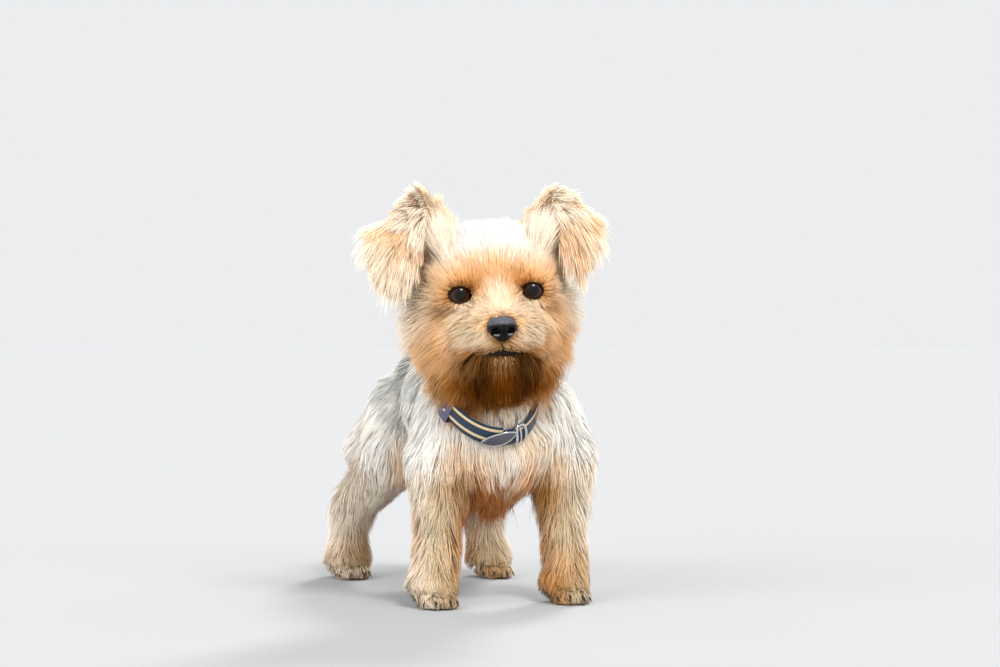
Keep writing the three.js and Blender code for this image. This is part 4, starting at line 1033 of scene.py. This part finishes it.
COATS = [
    coat("head", "coat_tan", "head", 80000, wide=0.4, steps=3, clump=5.5, pull=0.32, keep=face_keep),
    coat("beard", "coat_dark_tan", "jaw", 12000, long=20.0, wide=0.42, clump=5.0, keep=face_keep),
    coat("neck", "coat_cream", "neck", 9000, clump=9.0),
    coat("body", "coat_silver", "trunk", 46000, long=36.0, wide=0.7, clump=10.0),
    coat("tail", "coat_silver", "tail", 4500, long=38.0, pull=0.55),
]
for word in ("left", "right"):
    for leg in ("foreleg", "hindleg"):
        COATS.append(coat(f"{leg}_{word}", "coat_tan", f"{leg}_{word}", 10500, wide=0.55))

# Hair that stands up in front of the ears, or on their fold, is turned this way to be lit on its face
TO_FRONT = unit(np.array([-0.3, -1.0, 0.7])) * 2


# Lengths where hair differs from its coat's own: by the ears, on the feet and on the lower chest
TUFT_LONG, FOOT_LONG, APRON_LONG = 40.0, 8.0, 50.0
STRAYS = 0.03  # the share of strands that stand out from the rest
BLUR = 2.4  # how far the markings run into each other


def grow_coat(plan):
    """One coat, from its plan"""
    count = int(plan["count"] * SHARE)
    name, steps = plan["name"], plan["steps"]
    root = scatter(plan["part"], count, plan["keep"])
    at, out = root["at"], root["out"]
    q = in_head(at)
    owner, of_clump = clumps(at, plan["clump"])
    loose, free = np.full(count, 0.15), np.zeros(count)
    if name == "head":
        lie = from_head(head_lie(q))
        free = by_ears(q)
        long = mix(head_long(q), TUFT_LONG, free)
        out = unit(out + free[:, None] * TO_FRONT)
    elif name == "beard":
        lie = from_head(unit(columns(q[:, 0] * 0.02, -0.12, -1)))
        long = np.full(count, plan["long"])
        loose[:] = 0.7
    else:
        lie = body_lie(root)
        foot = smoothstep(-at[:, 2], -34, -12) * name.endswith(("left", "right"))
        long = mix(plan["long"], FOOT_LONG, foot)
        above = over_collar(at)
        long = np.where(above > 0, np.minimum(long, np.maximum(14, above * 1.2)), long)
    if name == "body":
        apron = smoothstep(-at[:, 2], -116, -98) * smoothstep(-at[:, 1], 20, 44)
        loose = mix(loose, 0.85, apron)
        long = mix(long, APRON_LONG, apron)
    lie = tousled(lie, out, of_clump, 0.12)
    long = long * (1 + 0.16 * of_clump) * rng.uniform(0.7, 1.12, count)
    lift = mix(0.45, 1.08, rng.uniform(size=count) ** 0.6) + 0.08 * of_clump
    wide = plan["wide"] * rng.uniform(0.7, 1.3, count)
    stray = (rng.uniform(size=count) < STRAYS) & (opening_of(q) > 3)
    long[stray] *= 1.3
    lift[stray] += 0.15
    wide[stray] *= 0.6
    start = rng.uniform(0, 0.5, count) * np.minimum(lift, 1)
    start[opening_of(q) < 2] = 0
    strands = combed(at, lie, long, start, lift, loose, free, steps)
    t = np.linspace(0, 1, steps + 1)
    across = unit(np.cross(lie, out))
    wave = np.sin(t * 4.5 + 3.1 * of_clump[:, None]) * t * (long * 0.035)[:, None]
    strands += wave[..., None] * across[:, None]
    strands = gathered(strands, out, owner, plan["pull"])
    strands[:, 1:] += rng.normal(0, 0.35, strands[:, 1:].shape) * t[1:, None]
    strands = clear_of_features(strands) if name == "head" else strands
    strands = under_strap(strands) if name in ("neck", "body") else strands
    seen = strands[:, round(0.6 * steps)] + rng.normal(0, BLUR, at.shape)
    tint = markings(seen, root["part"])
    if name == "beard":
        chin = (np.abs(q[:, 0]) < 8) & (np.abs(q[:, 2] + 36) < 2.5) & (q[:, 1] < -34)
        bristle = chin & (rng.uniform(size=count) < 0.4)
        tint[bristle] = PALE_GOLD * 0.85
        fan = from_head(unit(columns(0.09 * q[:, 0], -0.8, -1)))
        short = strands[:, :1] + fan[:, None] * (t[:, None] * rng.uniform(3.0, 6.0, (count, 1, 1)))
        strands[bristle] = short[bristle]
        wide[bristle] *= 0.5
    tint = laid(tint, mix(PALE_GOLD, CREAM, 0.6) * 0.85, 0.8 * free)
    root_tint = shaded(tint, of_clump, 0.12, 0.10)
    paler = mix(0.0, 0.3, smoothstep(tint.mean(1), 0.12, 0.5))
    tip_tint = bounded(laid(root_tint * 1.08, CREAM, paler))
    coat_pieces(name, plan["slot"], strands, out, wide, root, root_tint, tip_tint)


for plan in COATS:
    grow_coat(plan)


def grow_ear(word, count=20000, steps=4):
    """Long hair on an ear's back, which sweeps from its inner top down the flap, and hair in its cup"""
    name = f"ear_{word}"
    side = 1 if word == "left" else -1
    root = scatter(name, int(count * SHARE), even)
    offset, places = ear_places[name]
    place = (places[root["loops"] - offset] * root["shares"]).sum(1)
    u, s, face = place.T
    number = len(u)
    _, way, across, _, back, _ = ear_frame(word, u)
    outer = face > 0
    out = back * np.where(outer, 1, -1)[:, None]
    at = root["at"]
    sweep = unit(at - on_head(side * 39, 5, 69))
    below = smoothstep(u, 0.5, 0.8)
    over = sweep + way * mix(0.2 * (1 - smoothstep(u, 0.34, 0.46)), 0.8, below)[:, None]
    lie = np.where(outer[:, None], unit(over), unit(way + across * (0.6 * s)[:, None]))
    owner, of_clump = clumps(at, 7.5)
    lie = tousled(lie, out, of_clump, 0.2)
    fold = 1 - smoothstep(np.abs(u - 0.44), 0.05, 0.15)
    outer_long = mix(mix(15.0, 25.0, smoothstep(u, 0.1, 0.7)), 14.0, fold)
    inner_long = mix(18.0, 7.0, smoothstep(u, 0.22, 0.42))
    long = np.where(outer, outer_long, inner_long) * rng.uniform(0.65, 1.15, number)
    long *= 1 + 0.2 * of_clump
    wisp = outer & (rng.uniform(size=number) < STRAYS)
    long[wisp] *= 1.5
    climb = np.where(outer, mix(0.34, 0.12, fold), 0.35) * rng.uniform(0.2, 1.3, number)
    climb[wisp] *= 1.4
    line = [at]
    heading = unit(lie + out * climb[:, None])
    for i in range(1, steps + 1):
        t = i / steps
        heading = unit(heading - out * (climb * 0.3)[:, None] + np.array([0, 0, -0.2]) * t)
        at = at + heading * (long / steps)[:, None]
        line.append(at)
    strands = gathered(np.stack(line, 1), out, owner, 0.5)
    out = unit(out + np.where(outer, fold, 0.5)[:, None] * TO_FRONT)
    edge = np.clip(np.abs(s), 0, 1)
    # The fold's share of paleness is painted light: the top of the ear made paler to lift its shade and stand
    # for its backlit glow
    patchy = 0.45 * edge + 0.35 * wobble(root["at"], 10, 7) + 0.35 * of_clump + 0.45 * fold
    tint = laid(mix(GOLD, PALE_GOLD, 0.3), mix(PALE_GOLD, CREAM, 0.75), smoothstep(patchy, -0.25, 0.75))
    deep = smoothstep(u, 0.08, 0.26) * (1 - smoothstep(u, 0.44, 0.52)) * (1 - edge**2)
    cup_tint = laid(mix(CREAM, PALE_GOLD, 0.5), mix(GOLD, ORANGE, 0.4), 0.9 * deep)
    tint = np.where(outer[:, None], tint, cup_tint)
    root_tint = shaded(tint, of_clump, 0.14, 0.12)
    tip_tint = bounded(mix(root_tint, CREAM, 0.5))
    thick = 0.5 * rng.uniform(0.7, 1.3, number)
    coat_pieces(name, "coat_tan", strands, out, thick, root, root_tint, tip_tint)


for word in ("left", "right"):
    grow_ear(word)


def on_ball(polar, turn):
    """Places on a ball of radius 1 round the Y axis, its front pole at -Y"""
    return columns(np.sin(polar) * np.cos(turn), -np.cos(polar), np.sin(polar) * np.sin(turn))


def ball(radius, rings=24, sides=40):
    """A closed ball as vertices and quads, with each vertex's angle from its front pole"""
    polar = np.repeat(np.linspace(0.0005, math.pi - 0.0005, rings + 1), sides)
    points = on_ball(polar, np.tile(circle(sides), rings + 1)) * radius
    return points, quads_between(rings + 1, sides, turned=True), polar


def wet_black(name, roughness, base, scale, depth):
    """Dark damp skin or horn with a finely wrinkled face"""
    look = Look(name, Roughness=roughness, Specular_IOR_Level=0.2)
    wrinkles = look.texture("Noise", scale)
    look.ramp(wrinkles, base, [2.2 * b for b in base])
    look.bump(wrinkles, 0.6, depth)
    return look.material


def nose_material():
    """Pebbled leather, damp and black, with the tint's painted sheen on top and painted highlights on the
    nostrils' lower rims
    """
    look = Look("nose", Specular_IOR_Level=0.18)
    pebbles = look.texture("Voronoi", 1500.0)
    look.mottle(look.tint(), look.spread(pebbles, 1.2, 0.7, end=0.6))
    look.wear(Roughness=look.spread(pebbles, 0.2, 0.38, end=0.6))
    look.bump(pebbles, 0.5, 0.00012, invert=True)
    return look.material


eye_brown = tinted_material("eye", 700.0, 0.75, 1.25, Roughness=0.05, Specular_IOR_Level=0.3)
lid_black = wet_black("lid", 0.42, (0.004, 0.002, 0.0015), 900.0, 0.0002)
IRIS = colour("1d0f08")
BRIGHT_IRIS = colour("54301a")
PUPIL = colour("040202")
EYE_WHITE = colour("4a3a32")


def eye_basis(s, turn):
    """The eye's own directions as rows: to its side, back along the look, and up"""
    look = unit(from_head((s * turn, -1, 0.02)))
    side = unit(np.cross(look, (0, 0, 1)))
    return np.stack([side, -look, np.cross(side, look)])


def eye_piece(s, word):
    """The ball, whose dark iris fills the opening, with a wide pupil, a brighter ring, dimmed toward the top
    as painted shade of the upper lid, and a bulging front
    """
    points, quads, polar = ball(EYE_R - 0.2)
    around = np.arctan2(points[:, 2], points[:, 0])
    rays = 0.5 + 0.5 * np.sin(around * 23 + np.sin(around * 7) * 2)
    ring = smoothstep(polar, 0.36, 0.56) * (1 - smoothstep(polar, 0.70, 0.86))
    # Painted shade: the brighter ring fades toward the top, where the upper lid and brow shade the iris
    ring = ring * mix(1.0, 0.4, smoothstep(points[:, 2], -3, 4))
    tint = laid(IRIS, BRIGHT_IRIS, ring * (0.35 + 0.4 * rays))
    tint = laid(tint, PUPIL, 1 - smoothstep(polar, 0.34, 0.44))
    tint = laid(tint, EYE_WHITE, smoothstep(polar, 0.95, 1.05))
    bulge = 1 + 0.04 * (1 - smoothstep(polar, 0.2, 0.8))
    points = points * bulge[:, None] @ eye_basis(s, 0.04) + EYES[s]
    made = piece(f"eye_{word}_ball", points, quads, eye_brown, "eye", tint=tint)
    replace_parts(made, f"eye_{word}")


def lids_piece(s, word, sides=48):
    """A rim of dark skin round the open eye, which turns out under the fur"""
    a = circle(sides)
    upper = np.sin(a) > 0
    x = OPEN_WIDE * np.cos(a)
    z = OPEN_HIGH * np.sin(a) * np.where(upper, 1.0, 0.92) * (1 - 0.25 * np.abs(np.cos(a)) ** 3)
    turn = np.arctan2(z, x)
    edge = np.arcsin(np.minimum(np.hypot(x, z) / EYE_R, 0.98))
    # Each section: how far beyond the opening's edge in radians, and how proud of the ball
    sections = [(0.03, -0.3), (0.0, 0.2), (0.01, 0.5), (0.03, 0.7), (0.06, 0.7), (0.10, 0.3), (0.16, -0.4)]
    points = []
    for more, proud in sections:
        radius = EYE_R + proud + np.where(upper, 0.3, 0.0) * (more > 0)
        points.append(on_ball(edge + more, turn) * radius[:, None])
    points = np.concatenate(points) @ eye_basis(s, 0.0) + EYES[s]
    piece(f"lids_{word}", points, quads_between(len(sections), sides, turned=True), lid_black, "lips")


for s, word in ((1, "left"), (-1, "right")):
    eye_piece(s, word)
    lids_piece(s, word)


NOSE_BLACK = colour("0b0a0b")
NOSE_TOP_SHEEN = colour("5f626e")
NOSE_RIM_HIGHLIGHT = colour("8a908c")


def nose_piece(step=0.5):
    """Nose leather with its two nostrils, the slits beside them and the groove below"""
    low = np.array([-14.0, -70.0, -28.0])
    q = lattice(low, step, (57, 66, 56))
    x, y, z = np.abs(q[..., 0]), q[..., 1], q[..., 2] + 15
    narrow = 1 - 0.42 * smoothstep(-z, 0, 9)
    shape = sum(np.abs(v) ** 2.5 for v in (x / (10.5 * narrow), (y + 54) / 12.2, z / 9)) ** 0.4
    leather = (shape - 1) * 8.5

    def hollow(cx, cy, cz, rx, ry, rz, lean):
        dx, dz = x - cx, z - cz
        u = dx * math.cos(lean) + dz * math.sin(lean)
        w = -dx * math.sin(lean) + dz * math.cos(lean)
        return (np.sqrt((u / rx) ** 2 + ((y - cy) / ry) ** 2 + (w / rz) ** 2) - 1) * min(rx, rz)

    for cut in (
        hollow(4.9, -65, -0.9, 3.2, 5.0, 2.5, 0.45),
        hollow(8.6, -62, -2.8, 4.0, 5.0, 1.0, -0.55),
        hollow(0, -67.5, -4, 0.8, 3.4, 6.5, 0),
    ):
        leather = -joined(-leather, cut, 1.2)
    points, quads = surface_net(leather, low, step)
    points = smoothed(points, quads, 2)
    x, y, z = np.abs(points[:, 0]), points[:, 1], points[:, 2] + 15
    # Painted sheen: the top of the nose is paler and blue-grey, standing for the sky's reflection
    top = smoothstep(z + 0.25 * (y + 66), 3.2, 6.0)
    tint = laid(NOSE_BLACK, NOSE_TOP_SHEEN, 0.8 * top)
    # Painted highlights: thin pale lines on the nostrils' lower rims, where the wet edge catches light
    under = np.abs(z + 3.5 - 0.22 * (x - 5) ** 2 * 0.4)
    rim = (1 - smoothstep(under, 0.3, 0.9)) * (1 - smoothstep(np.abs(x - 5.4), 1.6, 3.0)) * (y < -62)
    tint = laid(tint, NOSE_RIM_HIGHLIGHT, 0.7 * rim)
    made = piece("nose_leather", out_of_head(points), quads, nose_material(), "nose_leather", tint=tint)
    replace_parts(made, "nose")


nose_piece()


def tube(points, radii, sides=10, closed=False, up=(0, 0, 1)):
    """A round tube along points, as vertices and quads"""
    if closed:
        way = unit(np.roll(points, -1, 0) - np.roll(points, 1, 0))
    else:
        way = unit(np.gradient(points, axis=0))
    across = unit(np.cross(np.broadcast_to(up, way.shape), way))
    over = np.cross(way, across)
    a = circle(sides)[:, None]
    ring = across[:, None] * np.cos(a) + over[:, None] * np.sin(a)
    rings = points[:, None] + ring * np.broadcast_to(radii, len(points))[:, None, None]
    return rings.reshape(-1, 3), quads_between(len(points), sides, closed)


lip_black = wet_black("lips", 0.5, (0.006, 0.003, 0.002), 1200.0, 0.00015)


def lip_piece(name, drop, radius, share):
    """One lip's rim from corner to corner, on the face of the muzzle or the chin"""
    t = np.linspace(-1, 1, 33)
    at = out_of_head(columns(0, -24, mouth_z(MOUTH_HALF * t) - drop))
    toward = from_head(columns(np.sin(0.78 * t), -np.cos(0.78 * t), 0))
    for _ in range(40):
        level = mix(sample(grid_skin, at), sample(grid_coat, at), share)
        at = at - toward * np.clip(level, -2, 2)[:, None] * 0.7
    radii = radius * (0.35 + 0.65 * np.cos(t * math.pi / 2) ** 0.7)
    return piece(name, *tube(at, radii, up=from_head((0, 0, 1))), lip_black, "lips")


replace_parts(lip_piece("mouth_upper", 0.9, 1.5, 0.44), "lip_upper")
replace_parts(lip_piece("mouth_lower", 2.9, 1.4, 0.36), "lip_lower")

claw_black = wet_black("claw", 0.3, (0.015, 0.011, 0.009), 500.0, 0.0001)


def claws_piece(name, lines):
    points, quads = [], []
    t = np.linspace(0, 1, 9)
    for root, tip in lines:
        line = mix(root, tip, t[:, None]) + np.array([0, 0, 1.4]) * np.sin(t * math.pi)[:, None]
        ring, faces = tube(line, 1.35 * (1 - t**1.6) + 0.08, 8)
        quads.append(faces + sum(len(p) for p in points))
        points.append(ring)
    piece(f"claws_{name}", np.concatenate(points), np.concatenate(quads), claw_black, "nose_leather")


for name, lines in claw_lines.items():
    claws_piece(name, lines)


# The collar's pieces
def collar_frame(turn):
    """On the collar's oval at angles, -90 degrees in front: the place, the way on, the way out and across"""
    turn = np.atleast_1d(turn)[:, None]
    at = COLLAR_AT + collar_side * COLLAR_HALF[0] * np.cos(turn) + collar_rise * COLLAR_HALF[1] * np.sin(turn)
    way = unit(collar_rise * COLLAR_HALF[1] * np.cos(turn) - collar_side * COLLAR_HALF[0] * np.sin(turn))
    out = collar_side * np.cos(turn) + collar_rise * np.sin(turn)
    out = out + np.array([0, -1, 0]) * 0.55 * np.maximum(0, -np.sin(turn))
    out = unit(out - (out * way).sum(1, keepdims=True) * way)
    return at, way, out, np.cross(out, way)


def band(start, end, steps, lift, aside):
    """Webbing with rounded edges along the oval, and for each vertex its place along and across it"""
    at, _, out, across = collar_frame(np.radians(np.linspace(start, end, steps + 1)))
    half, deep = STRAP_WIDE / 2, STRAP_THICK / 2
    edge = half - 0.5
    top = [(share * half, deep) for share in (0.6, 0.3, 0, -0.3, -0.6)]
    below = [(-edge, -deep), (0, -deep), (edge, -deep)]
    x, y = np.array([(half, 0), (edge, deep), *top, (-edge, deep), (-half, 0), *below]).T
    at = at + across * aside
    rings = at[:, None] + across[:, None] * x[:, None] + out[:, None] * (y + lift)[:, None]
    arc = np.concatenate([[0], np.cumsum(np.linalg.norm(np.diff(at, axis=0), axis=1))])
    uv = np.stack(np.broadcast_arrays(arc[:, None], x), -1)
    return rings.reshape(-1, 3), quads_between(steps + 1, len(x)), uv.reshape(-1, 2)


STRIPE_AT, STRIPE_HALF = 4.1, 1.1


def webbing_material():
    """Navy webbing with a cream stripe on the UV's plus side and a woven bump. Its UV is in millimetres."""
    look = Look("webbing", Roughness=0.75, Sheen_Weight=0.15)
    place = look.add("SeparateXYZ", look.add("UVMap", uv_map="Weave").outputs["UV"]).outputs

    def sums(operation, *values):
        return look.add("Math", *values, operation=operation).outputs[0]

    stripe = sums("COMPARE", place["Y"], STRIPE_AT, STRIPE_HALF)
    navy, cream = (*colour("15324a"), 1), (*colour("e8cf9e"), 1)
    base = look.add("Mix", data_type="RGBA", A=navy, B=cream, Factor=stripe)
    waves = [sums("SINE", sums("MULTIPLY", place[axis], rate)) for axis, rate in (("X", 7.5), ("Y", 6.0))]
    woven = sums("MULTIPLY", *waves)
    look.mottle(base.outputs["Result"], look.spread(woven, 0.65, 1.15, -1.0))
    look.bump(woven, 0.7, 0.0003)
    return look.material


def brushed(name, base, roughness, metallic=1.0):
    """Metal or moulded plastic with fine uneven gloss"""
    look = Look(name, Metallic=metallic)
    grain = look.texture("Noise", 350.0, Detail=4.0)
    look.wear(Roughness=look.spread(grain, roughness * 0.7, roughness * 1.4))
    look.ramp(grain, base * 0.8, base * 1.15)
    return look.material


webbing = webbing_material()
keeper_grey = brushed("keeper", colour("55516b"), 0.4, metallic=0.0)
dark_metal = brushed("buckle_metal", colour("6c6c74"), 0.3)
bright_metal = brushed("ring_metal", colour("d8d8dc"), 0.12)


def strap_piece(name, node, start, end, steps, lift, aside, striped_twice=False):
    """A layer of the strap between two angles, lifted off the oval and moved aside on it"""
    points, quads, uv = band(start, end, steps, lift, aside)
    if striped_twice:
        uv[:, 1] = np.abs(uv[:, 1])
    made = piece(name, points, quads, webbing, "webbing")
    order = taken(made.data.loops, "vertex_index", len(made.data.loops))
    fill(made.data.uv_layers.new(name="Weave").data, "uv", uv[order])
    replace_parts(made, node)


strap_piece("strap_loop", "collar_strap", -90, 270, 120, 0.0, 0.0)
strap_piece("strap_lap", "collar_strap_end", *LAP_TURNS, 34, LAP_LIFT, LAP_ASIDE, striped_twice=True)


def squared(count, power):
    """Points round a square with rounded corners, as their two coordinates from -1 to 1"""
    a = circle(count)
    return (np.sign(v) * np.abs(v) ** power for v in (np.cos(a), np.sin(a)))


def keeper_piece():
    """The moulded loop round both layers of the strap, with a rivet"""
    at, _, out, across = collar_frame(np.radians(np.linspace(*KEEPER_TURNS, 7)))
    lift, half, deep = LAP_LIFT / 2, STRAP_WIDE / 2 + 1.7, STRAP_THICK + 1.7
    x, y = squared(32, 0.35)
    ends = np.array([0.9, 1, 1, 1, 1, 1, 0.9])[:, None]
    wide, high = x * half * ends, lift + y * deep * ends
    rings = at[:, None] + across[:, None] * wide[..., None] + out[:, None] * high[..., None]
    quads = quads_between(len(at), len(x))
    made = piece("keeper", rings.reshape(-1, 3), quads, keeper_grey, "slider")
    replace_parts(made, "collar_slider")
    points, quads, _ = ball(1.5, 10, 16)
    rivet = at[3] + out[3] * (deep + lift) + across[3] * 2
    piece("keeper_rivet", points + rivet, quads, bright_metal, "ring_metal")


keeper_piece()


LEAF_HALF = (12.5, 4.6)
LEAF_BOW = 2.4
RING_HALF = (4.2, 8.2)


def leaf_buckle():
    """The curved plate of the buckle, pointed at both ends like a leaf, with a bright rim"""
    at, way, out, across = (v[0] for v in collar_frame(math.radians(LEAF_TURN)))
    c, s = math.cos(math.radians(LEAF_LEAN)), math.sin(math.radians(LEAF_LEAN))
    way, across = way * c + across * s, across * c - way * s
    centre = at + out * (STRAP_THICK / 2 + STRAP_THICK + 1.2) + across * 2.5

    def leaf(u, v, high):
        """Places of the leaf: u from end to end, v from side to side"""
        aside = v * (LEAF_HALF[1] * (1 - np.abs(u) ** 2.2) ** 0.8) + 1.2 * u
        return centre + way * (u * LEAF_HALF[0])[:, None] + across * aside[:, None] + out * high[:, None]

    u, v = (g.ravel() for g in np.meshgrid(np.linspace(-1, 1, 33), np.linspace(-1, 1, 13), indexing="ij"))
    top = leaf(u, v, LEAF_BOW * (1 - u**2) - 1.2 * v**2)
    quads = quads_between(33, 13, around=False)
    points = np.concatenate([top, top - out * 0.9])
    quads = np.concatenate([quads, quads[:, ::-1] + len(top)])
    made = piece("buckle_leaf", points, quads, dark_metal, "buckle_metal")
    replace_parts(made, "collar_buckle")
    rim = []
    for side in (1, -1):
        u = np.linspace(-0.985, 0.985, 33) * side
        rim.append(leaf(u, side, LEAF_BOW * (1 - u**2) - 1.6))
    piece("buckle_rim", *tube(np.concatenate(rim), 0.75, 8, closed=True, up=out), bright_metal, "ring_metal")


leaf_buckle()


def ring_piece():
    """The bright loop that stands round the strap beside the buckle, with the bar across its middle"""
    at, way, out, across = (v[0] for v in collar_frame(math.radians(RING_TURN)))
    centre = at + out * (STRAP_THICK / 2 + 1.6) - across * 0.8
    x, y = squared(56, 0.5)
    x, y = x * RING_HALF[0], y * RING_HALF[1]
    loop = centre + way * x[:, None] + across * y[:, None] + out * (-0.035 * y**2)[:, None]
    made = piece("lead_ring", *tube(loop, 1.15, 12, closed=True, up=out), bright_metal, "ring_metal")
    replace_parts(made, "collar_ring")
    t = np.linspace(-1, 1, 15)[:, None]
    bar = centre + across * t * 7.6 + out * (0.5 - 2.0 * t**2) - way * 0.8
    piece("ring_bar", *tube(bar, 0.8, 8, up=way), bright_metal, "ring_metal")


ring_piece()

# The light: a pale backdrop and four far lights, each with its place, strength, spread and tone
BACKDROP = np.array([0.97, 0.985, 1.0])
BACKDROP_STRENGTH = 0.86
LIGHTS = {
    "key": ((0.2, -1.2, 1.5), 2.0, 18, (1.0, 0.97, 0.92)),
    "fill": ((-1.5, -0.7, 0.8), 1.8, 50, (1.0, 0.99, 0.97)),
    "front": ((0.3, -1.4, 0.25), 1.6, 60, (1.0, 0.99, 0.97)),
    "rim": ((0.9, 1.2, 1.3), 2.4, 12, (1.0, 0.97, 0.93)),
}
world = bpy.data.worlds.new("studio")
bpy.context.scene.world = world
world.use_nodes = True
world.node_tree.nodes["Background"].inputs["Color"].default_value = (*BACKDROP, 1)
world.node_tree.nodes["Background"].inputs["Strength"].default_value = BACKDROP_STRENGTH
bpy.context.scene.view_settings.view_transform = "Standard"

lit = BACKDROP * BACKDROP_STRENGTH
for name, (place, strength, spread, tone) in LIGHTS.items():
    lamp = bpy.data.lights.new(name, "SUN")
    lamp.energy, lamp.angle, lamp.color = strength, math.radians(spread), tone
    made = placed(name, lamp)
    made.rotation_euler = (-Vector(place)).to_track_quat("-Z", "Y").to_euler()
    made.visible_glossy = name in ("key", "rim")  # the broad ones would show as discs in the eyes
    lit = lit + np.array(tone) * strength * place[2] / np.linalg.norm(place) / math.pi

# The floor is matt and, where nothing shades it, just as pale as the backdrop
FLOOR_HALF = 30.0
floor_tone = BACKDROP * BACKDROP_STRENGTH / lit
floor_look = Look("floor", Roughness=1.0, Specular_IOR_Level=0.0)
floor_look.ramp(floor_look.texture("Noise", 3.0, Detail=2.0), floor_tone * 0.98, floor_tone * 1.02)
floor_mesh = bpy.data.meshes.new("floor")
corners_at = [(x * FLOOR_HALF, y * FLOOR_HALF, 0) for x, y in ((-1, -1), (1, -1), (1, 1), (-1, 1))]
floor_mesh.from_pydata(corners_at, [], [(0, 1, 2, 3)])
floor_mesh.materials.append(floor_look.material)
floor = placed("floor", floor_mesh)

# The photograph's camera: level, a little above the dog's shoulder, from its right front
LENS = 85.0
CAMERA_AT = (-525.9, -1710.8, 196.0)
CAMERA_TURN = -18.0
camera_data = bpy.data.cameras.new("camera")
camera_data.lens = LENS
camera_data.sensor_width = 36.0
camera = placed("camera", camera_data)
camera.location = to_frame(CAMERA_AT)
camera.rotation_euler = (math.radians(90), 0, math.radians(CAMERA_TURN))
bpy.context.scene.camera = camera
